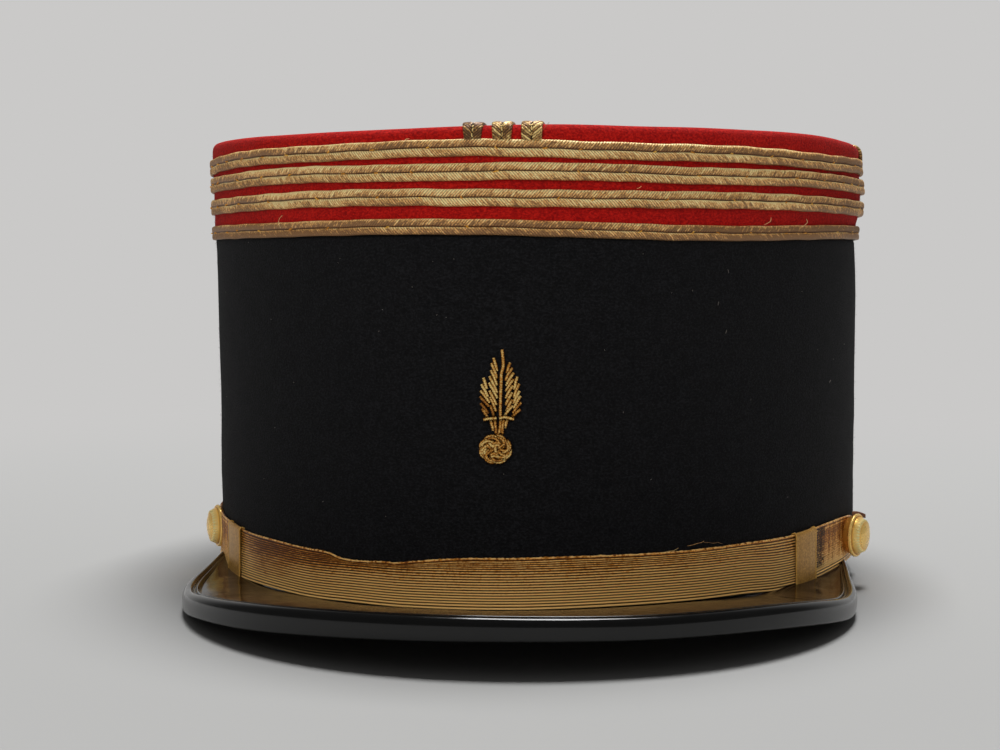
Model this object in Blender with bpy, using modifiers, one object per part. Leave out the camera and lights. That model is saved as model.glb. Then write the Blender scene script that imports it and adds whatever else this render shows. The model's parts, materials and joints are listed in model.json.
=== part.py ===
"""Kepi cap: a tall stiff oval cap of wool cloth with gold braid and a leather peak.

The cap stands on its open lower edge, with its front towards -Y, +Z up. Everything is in metres.
Sizes are given in millimetres times MM. An angle round the oval is measured from +X, so the
front is at -90 degrees.
"""

import math
from typing import NamedTuple

import bmesh
import bpy
from mathutils import Vector

MM = 0.001
GAP = 0.3 * MM  # clearance between neighbouring pieces

# The oval body
HALF_WIDTH = 84.0 * MM
HALF_LENGTH = 100.0 * MM
OVAL_EASE = 0.025  # how much the oval draws in at its four shoulders
LEAN = 0.0092  # outward lean of the wall for each unit of height
LEAN_FROM = 40.0 * MM  # height at which the wall has the half width and length above
OVAL_STEPS = 64
FRONT = math.radians(-90)

# Cloth walls
BAND_HEIGHT = 87.3 * MM
HEM = 2.0 * MM  # the lowest stretch of the wall, which stands upright on its edge
BAND_THICKNESS = 2.5 * MM
CROWN_THICKNESS = 2.2 * MM
TOP_THICKNESS = 2.0 * MM
TOP_LEVEL = 110.4 * MM
TOP_SEAM_INSET = 7.0 * MM
TOP_DISH = 3.5 * MM

# Braid
CORD_PROUD = 1.3 * MM
EDGE_BRAID_WIDTH = 4.7 * MM
EDGE_BRAID_PITCH = 6.3 * MM
EDGE_BRAID_START = 107.5 * MM

# Chin strap, its slides and the side buttons
STRAP_END = math.radians(12)
STRAP_LOW = 6.0 * MM
STRAP_WIDTH = 12.0 * MM
STRAP_THICKNESS = 0.9 * MM
STRAP_STEPS = 44
BUTTON_RADIUS = 5.45 * MM
BUTTON_HEIGHT = 3.3 * MM
BUTTON_STEPS = 24
BUTTON_LEVEL = 12.3 * MM
SHANK_RADIUS = 1.6 * MM

# Peak
PEAK_RADIUS = 78.0 * MM  # the front edge is an arc of this radius
PEAK_CENTRE = -61.0 * MM  # where along Y the arc is centred
PEAK_END_X = 80.3 * MM  # the ends of the edge, beside the buttons
PEAK_END_Y = -33.0 * MM
PEAK_SEAM_LEVEL = 4.8 * MM  # top of the leather along the seam
PEAK_THICKNESS = 2.0 * MM
PEAK_ARCH = 1.6  # above 1, the leather rises faster near the seam
RIM_HEIGHT = 5.1 * MM
RIM_DEPTH = 4.2 * MM
RIM_LIP = 1.0 * MM  # how far the bead stands above the leather
PEAK_STEPS = 40
PEAK_ROWS = 4
RIM_STEPS = 60


class Wave(NamedTuple):
    """One ripple of a hand-sewn braid round the cap."""

    count: int
    height: float
    phase: float


class Ring(NamedTuple):
    """A horizontal ring of double-cord braid."""

    level: float
    width: float
    waves: tuple


class Station(NamedTuple):
    """A place along half of the peak's edge, from the middle of the front."""

    along: float
    level: float
    bead: float


class ShoulderRow(NamedTuple):
    """A row of the crown's outer surface: how far inside the wall, and its height."""

    inset: float
    level: float


class WallRange(NamedTuple):
    """A stretch of the oval, in degrees."""

    start: float
    end: float


class Button(NamedTuple):
    """A side button: its angle round the oval, how far it stands off the strap, and its turn.

    The turn, in degrees, is how far its face looks towards the front from straight outwards.
    """

    angle: float
    stand_off: float
    turn: float


class EdgeGroup(NamedTuple):
    """A group of short braids over the shoulder: its angle, and how far it is sewn off centre."""

    side: str
    angle: float
    offset: float


RINGS = (
    Ring(105.1 * MM, 3.6 * MM, (Wave(3, 0.20 * MM, 139), Wave(8, 0.16 * MM, 125))),
    Ring(100.3 * MM, 3.6 * MM, (Wave(3, 0.09 * MM, 180), Wave(8, 0.16 * MM, 30))),
    Ring(94.8 * MM, 3.6 * MM, (Wave(5, 0.19 * MM, 216), Wave(3, 0.08 * MM, 130))),
    Ring(88.2 * MM, 3.3 * MM, (Wave(3, 0.40 * MM, 167), Wave(5, 0.23 * MM, 110))),
)

CROWN_ROWS = (
    ShoulderRow(0.0, BAND_HEIGHT + GAP),
    ShoulderRow(0.0, 107.3 * MM),
    ShoulderRow(0.8 * MM, 109.2 * MM),
    ShoulderRow(2.4 * MM, 110.2 * MM),
    ShoulderRow(TOP_SEAM_INSET, TOP_LEVEL),
)

EDGE_GROUPS = (
    EdgeGroup("front", -90.0, 1.1 * MM),
    EdgeGroup("right", 0.0, 0.0),
    EdgeGroup("back", 90.0, 0.0),
    EdgeGroup("left", 180.0, 0.0),
)

BUTTONS = {
    "button_left": Button(-163.0, 0.0, 0.0),
    "button_right": Button(-17.0, 1.9 * MM, 15.0),
}

SLIDES = {
    "strap_slide_left": WallRange(-148.5, -140.5),
    "strap_slide_right": WallRange(-39.5, -32.5),
}

PEAK_STATIONS = (
    Station(0.0 * MM, 7.6 * MM, 1.0),
    Station(28.0 * MM, 7.0 * MM, 1.0),
    Station(54.0 * MM, 5.5 * MM, 1.0),
    Station(80.0 * MM, 3.0 * MM, 1.0),
    Station(96.0 * MM, 1.1 * MM, 1.0),
    Station(106.0 * MM, 0.6 * MM, 0.97),
    Station(122.5 * MM, 1.6 * MM, 0.85),
    Station(137.0 * MM, 3.0 * MM, 0.55),
    Station(151.0 * MM, 4.2 * MM, 0.25),
)

# The embroidered grenade, as seen from the front: half widths at heights above its lowest point
BADGE_LOW = 37.9 * MM
BADGE_THICKNESS = 1.2 * MM
BADGE_OFFSET = 0.3 * MM
BALL_RADIUS = 3.7 * MM
BALL_STEPS = 20
FLAME_ROWS = (
    (0.9, 7.0),
    (1.6, 10.0),
    (3.3, 10.4),
    (3.3, 11.2),
    (2.0, 11.6),
    (3.6, 14.2),
    (4.3, 17.0),
    (3.9, 19.2),
    (2.4, 21.2),
    (0.9, 23.4),
    (0.25, 24.6),
)


def oval(angle, grow=0.0):
    """The point of the cap's oval at this angle, moved outwards by grow, as (x, y)."""

    def on_oval(at):
        ease = 1.0 - OVAL_EASE * math.sin(2 * at) ** 2
        return Vector((HALF_WIDTH * math.cos(at) * ease, HALF_LENGTH * math.sin(at) * ease))

    step = 1e-4
    point = on_oval(angle)
    along = on_oval(angle + step) - on_oval(angle - step)
    outward = Vector((along.y, -along.x)).normalized()
    return point + outward * grow


def outward_angle(angle):
    """The direction, as an angle from +X, in which the wall faces at this angle of the oval."""
    towards = oval(angle, 1.0) - oval(angle, 0.0)
    return math.atan2(towards.y, towards.x)


def wall(angle, level, grow=0.0):
    """A point on the outer face of the wall, moved outwards by grow."""
    x, y = oval(angle, grow + LEAN * (level - LEAN_FROM))
    return Vector((x, y, level))


def smooth_value(stations, field, at):
    """The value of a station field at this distance, on a smooth curve through the stations."""
    places = [station.along for station in stations]
    values = [getattr(station, field) for station in stations]
    last = len(places) - 1
    at = min(max(at, places[0]), places[-1])
    i = max(k for k in range(last) if places[k] <= at)

    def slope(k):
        before, after = max(k - 1, 0), min(k + 1, last)
        return (values[after] - values[before]) / (places[after] - places[before])

    width = places[i + 1] - places[i]
    t = (at - places[i]) / width
    start = (2 * t**3 - 3 * t**2 + 1) * values[i] + (t**3 - 2 * t**2 + t) * width * slope(i)
    end = (3 * t**2 - 2 * t**3) * values[i + 1] + (t**3 - t**2) * width * slope(i + 1)
    return start + end


def clear_scene():
    """Removes every object, and makes the collections for the pieces and for the guides."""
    for old in list(bpy.data.objects):
        bpy.data.objects.remove(old)
    for name, hidden in (("Kepi cap", False), ("Guides", True)):
        collection = bpy.data.collections.new(name)
        collection.hide_render = hidden
        bpy.context.scene.collection.children.link(collection)


def material(name, colour, roughness, metallic=0.0):
    """A Principled BSDF material with these values, each made once."""
    made = bpy.data.materials.get(name)
    if made is None:
        made = bpy.data.materials.new(name)
        made.use_nodes = True
        shader = made.node_tree.nodes["Principled BSDF"]
        shader.inputs["Base Color"].default_value = (*colour, 1.0)
        shader.inputs["Roughness"].default_value = roughness
        shader.inputs["Metallic"].default_value = metallic
    return made


def blue_black_wool():
    return material("Blue-black wool", (0.010, 0.010, 0.013), 0.95)


def red_wool():
    return material("Red wool", (0.36, 0.010, 0.014), 0.92)


def gold_braid():
    return material("Gold braid", (0.42, 0.28, 0.11), 0.45, 0.7)


def gilt_brass():
    return material("Gilt brass", (0.75, 0.48, 0.16), 0.3, 1.0)


def patent_leather():
    return material("Patent leather", (0.014, 0.010, 0.009), 0.12)


def add(name, data, finish, root, location=(0, 0, 0), rotation=(0, 0, 0)):
    """Adds an object for one piece, under the cap's empty."""
    piece = bpy.data.objects.new(name, data)
    piece.location = location
    piece.rotation_euler = rotation
    piece.parent = root
    data.materials.append(finish)
    bpy.data.collections["Kepi cap"].objects.link(piece)
    return piece


def guide_profile(name, points):
    """A closed flat outline that a curve is bevelled with; it isn't a piece itself."""
    curve = bpy.data.curves.new(name, "CURVE")
    curve.dimensions = "2D"
    spline = curve.splines.new("POLY")
    spline.points.add(len(points) - 1)
    for slot, (x, y) in zip(spline.points, points):
        slot.co = (x, y, 0, 1)
    spline.use_cyclic_u = True
    guide = bpy.data.objects.new(name, curve)
    guide.hide_render = True
    guide.display_type = "WIRE"
    bpy.data.collections["Guides"].objects.link(guide)
    return guide


def swept(name, path, profile, closed=False, scales=None):
    """Curve data that carries a profile along a path.

    The path runs anticlockwise seen from above. The profile's x then points outwards and its y up,
    and its points run clockwise. scales, one for each point of the path, sizes the profile there.
    """
    curve = bpy.data.curves.new(name, "CURVE")
    curve.dimensions = "3D"
    curve.twist_mode = "Z_UP"
    curve.bevel_mode = "OBJECT"
    curve.bevel_object = profile
    curve.use_fill_caps = not closed
    spline = curve.splines.new("POLY")
    spline.points.add(len(path) - 1)
    for i, (slot, point) in enumerate(zip(spline.points, path)):
        slot.co = (*point, 1)
        slot.radius = scales[i] if scales else 1.0
    spline.use_cyclic_u = closed
    return curve


def grid_mesh(name, rows, closed=False):
    """An open surface through rows of points, each row as long as the last."""
    shape = bmesh.new()
    grid = [[shape.verts.new(point) for point in row] for row in rows]
    count = len(grid[0])
    for lower, upper in zip(grid, grid[1:]):
        for i in range(count if closed else count - 1):
            j = (i + 1) % count
            shape.faces.new((lower[i], lower[j], upper[j], upper[i]))
    mesh = bpy.data.meshes.new(name)
    shape.to_mesh(mesh)
    shape.free()
    mesh.shade_smooth()
    return mesh


def thicken(piece, thickness):
    """Gives an open surface its wall, inwards from its outer face."""
    solidify = piece.modifiers.new("Wall", "SOLIDIFY")
    solidify.thickness = thickness
    solidify.offset = -1
    solidify.use_even_offset = True


def round_angles():
    """The angles of the oval's steps, anticlockwise."""
    return [math.tau * i / OVAL_STEPS for i in range(OVAL_STEPS)]


def add_band(root):
    """The tall wool wall, open at both ends."""
    rows = []
    for level in (0.0, HEM, BAND_HEIGHT / 2, BAND_HEIGHT):
        row = [wall(angle, max(level, HEM)) for angle in round_angles()]
        rows.append([(point.x, point.y, level) for point in row])
    band = add("band", grid_mesh("band", rows, closed=True), blue_black_wool(), root)
    thicken(band, BAND_THICKNESS)


def add_crown_side(root):
    """The red wall, turned in over the shoulder to the seam of the top."""
    rows = [
        [wall(angle, row.level, -row.inset) for angle in round_angles()] for row in CROWN_ROWS
    ]
    side = add("crown_side", grid_mesh("crown_side", rows, closed=True), red_wool(), root)
    thicken(side, CROWN_THICKNESS)


def add_crown_top(root):
    """The red top, dished a little inside its seam."""
    shape = bmesh.new()
    rings = []
    for reach in (1.0, 0.8, 0.45):
        level = TOP_LEVEL - TOP_DISH * (1 - reach**2)
        edge = [wall(angle, TOP_LEVEL, -TOP_SEAM_INSET - GAP) for angle in round_angles()]
        rings.append([shape.verts.new((p.x * reach, p.y * reach, level)) for p in edge])
    for outer, inner in zip(rings, rings[1:]):
        for i in range(OVAL_STEPS):
            j = (i + 1) % OVAL_STEPS
            shape.faces.new((outer[i], outer[j], inner[j], inner[i]))
    middle = shape.verts.new((0, 0, TOP_LEVEL - TOP_DISH))
    for i in range(OVAL_STEPS):
        shape.faces.new((rings[-1][i], rings[-1][(i + 1) % OVAL_STEPS], middle))
    mesh = bpy.data.meshes.new("crown_top")
    shape.to_mesh(mesh)
    shape.free()
    mesh.shade_smooth()
    top = add("crown_top", mesh, red_wool(), root)
    thicken(top, TOP_THICKNESS)


def double_cord(width, proud):
    """Half the outline of two cords side by side on a flat back, centred on y = 0."""
    half = width / 2
    return [
        (0, -half),
        (0, half),
        (0.8 * proud, half),
        (proud, 0.52 * half),
        (0.62 * proud, 0),
        (proud, -0.52 * half),
        (0.8 * proud, -half),
    ]


def add_ring_braids(root):
    """Four rings of double cord, each with the slight sway of hand sewing."""
    for number, ring in enumerate(RINGS, 1):
        name = f"ring_braid_{number}"
        profile = guide_profile(f"{name}_profile", double_cord(ring.width, CORD_PROUD))
        path = []
        for angle in round_angles():
            from_front = angle - FRONT
            sway = sum(
                wave.height * math.sin(wave.count * from_front + math.radians(wave.phase))
                for wave in ring.waves
            )
            path.append(wall(angle, ring.level + sway, GAP))
        add(name, swept(name, path, profile, closed=True), gold_braid(), root)


def add_edge_braids(root):
    """Short upright braids that run from the top ring over the shoulder to the top's seam."""
    profile = guide_profile("edge_braid_profile", double_cord(EDGE_BRAID_WIDTH, CORD_PROUD))
    rows = [row for row in CROWN_ROWS if row.level > EDGE_BRAID_START]
    outline = [(GAP, EDGE_BRAID_START)]
    outline += [(GAP * 0.8 - row.inset, row.level + GAP * 0.8) for row in rows]
    for group in EDGE_GROUPS:
        for number in (1, 2, 3):
            name = f"edge_braid_{group.side}_{number}"
            angle = math.radians(group.angle)
            facing = outward_angle(angle)
            across = Vector((-math.sin(facing), math.cos(facing), 0))
            shift = group.offset + (number - 2) * EDGE_BRAID_PITCH
            half_length = HALF_LENGTH if abs(math.cos(angle)) < 0.5 else HALF_WIDTH
            other = HALF_WIDTH if abs(math.cos(angle)) < 0.5 else HALF_LENGTH
            sagitta = half_length * (1 - math.sqrt(1 - (shift / other) ** 2))
            foot = wall(angle, EDGE_BRAID_START)
            foot.z = 0
            place = foot + across * shift - foot.normalized() * sagitta
            path = [(x, y, 0) for x, y in outline]
            data = swept(name, path, profile)
            rotation = (math.pi / 2, 0, facing)
            add(name, data, gold_braid(), root, place, rotation)


def add_chin_strap(root):
    """The gold strap along the foot of the band, from behind one button to behind the other."""
    x, top = STRAP_THICKNESS, STRAP_WIDTH
    outline = [(0, 0), (0, top), (0.7 * x, top), (x, top - 0.6 * MM), (x, 1.5 * MM)]
    outline += [(1.3 * x, 1.0 * MM), (1.3 * x, 0.3 * MM), (0.8 * x, 0)]
    profile = guide_profile("chin_strap_profile", outline)
    start, end = -math.pi + STRAP_END, -STRAP_END
    path = [
        wall(start + (end - start) * i / STRAP_STEPS, STRAP_LOW, GAP)
        for i in range(STRAP_STEPS + 1)
    ]
    add("chin_strap", swept("chin_strap", path, profile), gold_braid(), root)


def add_slides(root):
    """Flat loops that hold the strap: a plate in front, turned back above and below it."""
    plate, lip, clear = 0.4 * MM, 0.45 * MM, 0.35 * MM
    face = 1.3 * STRAP_THICKNESS + GAP
    low, high = -clear, STRAP_WIDTH + clear
    outline = [(0, low - lip), (0, low), (face, low), (face, high), (0, high), (0, high + lip)]
    outline += [(face + plate, high + lip), (face + plate, low - lip)]
    profile = guide_profile("slide_profile", outline)
    for name, stretch in SLIDES.items():
        steps = 4
        angles = [stretch.start + (stretch.end - stretch.start) * i / steps for i in range(5)]
        path = [wall(math.radians(angle), STRAP_LOW, GAP) for angle in angles]
        add(name, swept(name, path, profile), gold_braid(), root)


def button_mesh(name, shank):
    """Half the outline of a domed button with a raised rim, for turning about Z.

    A shank of this length carries it, unless the length is 0.
    """
    r, h = BUTTON_RADIUS, BUTTON_HEIGHT
    outline = [(0, h), (0.45 * r, 0.93 * h), (0.72 * r, 0.68 * h), (0.84 * r, 0.44 * h)]
    outline += [(0.92 * r, 0.48 * h), (r, 0.34 * h), (r, 0.1 * h), (0.9 * r, 0)]
    if shank > 0:
        outline += [(SHANK_RADIUS, 0), (SHANK_RADIUS, -shank)]
    outline.append((0, -shank))
    mesh = bpy.data.meshes.new(name)
    points = [(x, 0, z) for x, z in outline]
    mesh.from_pydata(points, [(i, i + 1) for i in range(len(points) - 1)], [])
    return mesh


def add_buttons(root):
    """Two turned buttons, one over each end of the strap."""
    for name, row in BUTTONS.items():
        angle = math.radians(row.angle)
        turn = math.radians(row.turn)
        place = wall(angle, BUTTON_LEVEL, GAP + STRAP_THICKNESS + GAP + row.stand_off)
        # The turned shank stops where the edge of its end is clear of the strap.
        shank = max(0.0, (row.stand_off - SHANK_RADIUS * math.sin(turn)) / math.cos(turn))
        rotation = (0, math.pi / 2, outward_angle(angle) - turn)
        button = add(name, button_mesh(name, shank), gilt_brass(), root, place, rotation)
        lathe = button.modifiers.new("Turned", "SCREW")
        lathe.axis = "Z"
        lathe.angle = math.tau
        lathe.steps = lathe.render_steps = BUTTON_STEPS
        lathe.use_merge_vertices = True
        lathe.merge_threshold = 1e-6
        lathe.use_smooth_shade = True


def add_badge(root):
    """The flaming grenade as one raised patch: a round ball, its stem and the flame above."""
    outline = []
    for i in range(BALL_STEPS):
        turn = math.radians(75) - math.radians(330) * i / (BALL_STEPS - 1)
        outline.append((BALL_RADIUS * math.cos(turn), BALL_RADIUS * (1 + math.sin(turn))))
    left = [(-half * MM, height * MM) for half, height in FLAME_ROWS]
    right = [(half * MM, height * MM) for half, height in reversed(FLAME_ROWS)]
    curve = bpy.data.curves.new("grenade_badge", "CURVE")
    curve.dimensions = "2D"
    curve.fill_mode = "BOTH"
    curve.extrude = BADGE_THICKNESS / 2
    spline = curve.splines.new("POLY")
    points = outline + left + right
    spline.points.add(len(points) - 1)
    for slot, (x, y) in zip(spline.points, points):
        slot.co = (x, y, 0, 1)
    spline.use_cyclic_u = True
    level = BADGE_LOW + BALL_RADIUS * 2
    seat = wall(FRONT, level, GAP * 1.6 + BADGE_THICKNESS / 2)
    place = (BADGE_OFFSET, seat.y, BADGE_LOW)
    add("grenade_badge", curve, gold_braid(), root, place, (math.pi / 2, 0, 0))


def peak_edge_length():
    """Half the length of the peak's edge, from the middle of its front."""
    straight = math.hypot(PEAK_END_X - PEAK_RADIUS, PEAK_END_Y - PEAK_CENTRE)
    return PEAK_RADIUS * math.pi / 2 + straight


def peak_edge(along):
    """A point of the peak's outer edge, seen from above, at this distance from the front."""
    arc = PEAK_RADIUS * math.pi / 2
    side = math.copysign(1, along)
    reach = abs(along)
    if reach <= arc:
        turn = reach / PEAK_RADIUS
        x, y = PEAK_RADIUS * math.sin(turn), PEAK_CENTRE - PEAK_RADIUS * math.cos(turn)
    else:
        t = (reach - arc) / (peak_edge_length() - arc)
        x = PEAK_RADIUS + (PEAK_END_X - PEAK_RADIUS) * t
        y = PEAK_CENTRE + (PEAK_END_Y - PEAK_CENTRE) * t
    return Vector((side * x, y))


def peak_inward(along):
    """The direction, seen from above, from the edge into the peak."""
    step = 0.5 * MM
    direction = peak_edge(along + step) - peak_edge(along - step)
    return Vector((-direction.y, direction.x)).normalized()


def add_peak(root):
    """The leather of the peak: a surface from the seam to the bead, arched over its middle."""
    reach = 136.0 * MM  # the leather ends here, and the bead runs on to the button
    rows = [[] for _ in range(PEAK_ROWS + 1)]
    for i in range(PEAK_STEPS + 1):
        along = reach * (2 * i / PEAK_STEPS - 1)
        bead = smooth_value(PEAK_STATIONS, "bead", abs(along))
        low = smooth_value(PEAK_STATIONS, "level", abs(along))
        level = low + (RIM_HEIGHT - RIM_LIP) * bead
        outer = peak_edge(along) + peak_inward(along) * (RIM_DEPTH * bead + GAP)
        turn = math.atan2(outer.y / HALF_LENGTH, outer.x / HALF_WIDTH)
        inner = wall(turn, PEAK_SEAM_LEVEL, GAP)
        for k, row in enumerate(rows):
            t = k / PEAK_ROWS
            rise = 1 - (1 - t) ** PEAK_ARCH
            flat = Vector((inner.x, inner.y)).lerp(outer, t)
            row.append((flat.x, flat.y, PEAK_SEAM_LEVEL + (level - PEAK_SEAM_LEVEL) * rise))
    rows.reverse()
    peak = add("peak", grid_mesh("peak", rows), patent_leather(), root)
    thicken(peak, PEAK_THICKNESS)


def add_peak_rim(root):
    """The bead round the peak's edge, thinner towards its ends."""
    depth, height = RIM_DEPTH, RIM_HEIGHT
    outline = [(-depth, 0.24 * height), (-depth, 0.82 * height), (-0.76 * depth, 0.98 * height)]
    outline += [(-0.38 * depth, height), (-0.09 * depth, 0.84 * height), (0, 0.55 * height)]
    outline += [(-0.07 * depth, 0.24 * height), (-0.3 * depth, 0.03 * height)]
    outline += [(-0.7 * depth, 0.03 * height)]
    profile = guide_profile("peak_rim_profile", outline)
    path, scales = [], []
    for i in range(RIM_STEPS + 1):
        along = peak_edge_length() * (2 * i / RIM_STEPS - 1)
        x, y = peak_edge(along)
        path.append((x, y, smooth_value(PEAK_STATIONS, "level", abs(along))))
        scales.append(smooth_value(PEAK_STATIONS, "bead", abs(along)))
    add("peak_rim", swept("peak_rim", path, profile, scales=scales), patent_leather(), root)


def body_shift():
    """How far back the oval stands, so that the whole cap is centred on the origin."""
    front = PEAK_CENTRE - PEAK_RADIUS
    levels = [ring.level for ring in RINGS]
    back = max(wall(-FRONT, level, GAP + CORD_PROUD).y for level in levels)
    return -(front + back) / 2


def main():
    clear_scene()
    root = bpy.data.objects.new("kepi", None)
    root.location = (0, body_shift(), 0)
    bpy.data.collections["Kepi cap"].objects.link(root)
    add_band(root)
    add_crown_side(root)
    add_crown_top(root)
    add_ring_braids(root)
    add_edge_braids(root)
    add_badge(root)
    add_chin_strap(root)
    add_slides(root)
    add_buttons(root)
    add_peak(root)
    add_peak_rim(root)


main()
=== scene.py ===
"""Kepi cap, dressed: milled wool, gilt braid, bullion embroidery, ribbed strap and patent leather.

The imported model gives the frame: +Z up, metres, the peak towards -Y. Sizes are given in
millimetres times MM. A distance "along" runs round the cap's wall from the middle of its front,
anticlockwise seen from above, so it grows to the right in the photograph.
"""

from __future__ import annotations

import json
import logging
import math
from dataclasses import dataclass, field
from enum import Enum
from typing import Any, Callable, NamedTuple, Sequence

import bpy
import numpy as np
from mathutils import Matrix, Vector

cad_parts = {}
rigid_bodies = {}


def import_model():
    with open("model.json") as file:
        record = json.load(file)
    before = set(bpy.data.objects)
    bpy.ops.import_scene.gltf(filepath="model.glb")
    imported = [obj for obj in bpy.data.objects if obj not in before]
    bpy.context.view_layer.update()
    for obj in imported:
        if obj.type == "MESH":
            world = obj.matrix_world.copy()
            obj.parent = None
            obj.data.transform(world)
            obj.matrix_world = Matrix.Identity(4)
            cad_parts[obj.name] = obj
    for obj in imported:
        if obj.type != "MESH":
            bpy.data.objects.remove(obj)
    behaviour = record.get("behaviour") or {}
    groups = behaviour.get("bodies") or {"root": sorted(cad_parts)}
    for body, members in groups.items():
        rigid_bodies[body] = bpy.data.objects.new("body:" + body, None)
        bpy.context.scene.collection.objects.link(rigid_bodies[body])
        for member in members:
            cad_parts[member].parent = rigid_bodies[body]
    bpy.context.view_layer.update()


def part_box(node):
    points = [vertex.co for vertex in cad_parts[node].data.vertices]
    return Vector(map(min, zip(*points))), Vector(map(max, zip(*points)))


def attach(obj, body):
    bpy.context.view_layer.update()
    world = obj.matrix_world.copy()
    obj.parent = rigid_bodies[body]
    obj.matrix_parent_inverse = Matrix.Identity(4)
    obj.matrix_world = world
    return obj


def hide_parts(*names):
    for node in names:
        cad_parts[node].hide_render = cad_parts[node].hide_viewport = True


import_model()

LOG = logging.getLogger("kepi")
MM = 0.001
FRONT = math.radians(-90)
ROOT = "root"
# A length that is added before dividing by one that may be nothing.
NO_LENGTH = 1e-12
# The angle to either side of a place on the oval at which its direction is read.
ANGLE_STEP = 1e-4
# The sizes of the rows that close the end of a rod, down to its middle.
END_ROWS = (1.0, 0.5, 0.001)
# How far a strand has to face upward, from 0 to 1, to get a painted highlight rather than painted
# shade.
FLANK_TURN = 0.6
# How much relief is lost in the grooves between a strand's coils, which paints shade in them.
COIL_GROOVE = 0.4

UP = np.array([0.0, 0.0, 1.0])
FORWARD = np.array([0.0, -1.0, 0.0])

# Points end in an axis of x, y and z, or of two of them. Values are plain numbers in any shape.
Points = np.ndarray
Values = np.ndarray
Table = tuple[tuple[float, ...], ...]


# ---- The cap's form, which every piece is set against ----


@dataclass
class CapForm:
    """The oval wall of the cap, with the same sizes as the solids.

    The soft wall also leans a little to one side, by side_lean for each unit of height below
    side_lean_from, which shifts its left and right faces and leaves its front where it is.
    swell gives how much further out its left and right faces are at each level. crest gives how
    much higher its soft shoulder is at each place round the cap. All are in millimetres.
    """

    half_width: float = 84.0 * MM
    half_length: float = 100.0 * MM
    ease: float = 0.025
    lean: float = 0.0092
    lean_from: float = 40.0 * MM
    side_lean: float = 0.0105
    side_lean_from: float = 75.0 * MM
    swell: Table = (
        (0, 0.0, 0.0), (20, -0.05, 0.2), (50, -0.2, 0.1), (80, -0.25, -0.1), (86, -0.1, -0.45),
        (90, 0.0, -0.3), (94, 0.05, 0.6), (102, 0.05, 0.65), (106, 0.1, 0.2), (112, 0.6, 0.8),
    )
    crest: Table = (
        (-290, 0.1), (-150, 0.3), (-110, 0.45), (-90, 0.2), (-75, -0.03), (-60, -0.36),
        (-44, -0.52), (-22, -0.54), (-8, -0.3), (14, 0.1), (33, 0.06), (46, 0.3), (62, 0.47),
        (77, 0.73), (92, 0.8), (110, 0.55), (130, 0.4), (160, 0.2), (290, 0.1),
    )
    crest_from: float = 106.3 * MM
    crest_to: float = 109.8 * MM
    samples: int = 4096
    shift: float = field(init=False)
    girth: float = field(init=False)

    def __post_init__(self) -> None:
        """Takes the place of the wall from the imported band, and measures its girth."""
        low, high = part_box("band")
        self.shift = (low.y + high.y) / 2
        self._angles = np.linspace(FRONT, FRONT + math.tau, self.samples)
        self._reach = run_along(self.outline(self._angles))
        self.girth = float(self._reach[-1])

    def outline(self, angle: Values, grow: Values | float = 0.0) -> Points:
        """The oval seen from above.

        Args:
            angle: angles round the oval from +X, in radians.
            grow: how far outside the oval each point lies.

        Returns:
            Points with x and y.
        """

        def on_oval(at: Values) -> Points:
            """The oval itself."""
            ease = 1.0 - self.ease * np.sin(2 * at) ** 2
            x = self.half_width * np.cos(at) * ease
            y = self.half_length * np.sin(at) * ease
            return np.stack([x, y], axis=-1)

        angle = np.asarray(angle, float)
        run = on_oval(angle + ANGLE_STEP) - on_oval(angle - ANGLE_STEP)
        outward = unit(np.stack([run[..., 1], -run[..., 0]], axis=-1))
        return on_oval(angle) + outward * np.asarray(grow, float)[..., None]

    def wall(self, angle: Values, level: Values, grow: Values | float = 0.0) -> Points:
        """Points on the wall's outer face.

        Args:
            angle: angles round the oval from +X, in radians.
            level: heights above the lower edge.
            grow: how far outside the face each point lies.

        Returns:
            Points with x, y and z.
        """
        angle, level, grow = np.broadcast_arrays(
            np.asarray(angle, float), np.asarray(level, float), np.asarray(grow, float)
        )
        across = np.cos(angle)
        aside = self.side_lean * (self.side_lean_from - level) * across
        table = smooth_line(self.swell, level / MM) * MM
        aside = aside + np.where(across < 0, table[..., 0], table[..., 1]) * across**2
        flat = self.outline(angle, grow + aside + self.lean * (level - self.lean_from))
        high = level + self.rise(angle, level)
        return np.stack([flat[..., 0], flat[..., 1] + self.shift, high], axis=-1)

    def rise(self, angle: Values, level: Values) -> Values:
        """How much higher than its level the soft shoulder is."""
        share = ramp(level, self.crest_from, self.crest_to - self.crest_from)
        return smooth_step(share, smooth_line(self.crest, self.along_at(angle) / MM) * MM)

    def angle_at(self, along: Values | float) -> Values:
        """The angle at a distance round the wall from the middle of the front."""
        return np.interp(np.mod(along, self.girth), self._reach, self._angles)

    def along_at(self, angle: Values | float) -> Values:
        """The distance round the wall from the middle of the front at an angle; see angle_at."""
        turned = np.mod(np.asarray(angle) - FRONT, math.tau)
        along = np.interp(turned + FRONT, self._angles, self._reach)
        return np.where(along > self.girth / 2, along - self.girth, along)

    def at(self, along: Values, level: Values, grow: Values | float = 0.0) -> Points:
        """Points on the wall at distances round it; see wall."""
        return self.wall(self.angle_at(along), level, grow)

    def facing(self, angle: float) -> float:
        """The direction from +X in which the wall faces at this angle."""
        here, out = self.outline(np.array([angle])), self.outline(np.array([angle]), 1.0)
        x, y = (out - here)[0]
        return math.atan2(y, x)


# ---- Meshes from arrays ----


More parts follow.
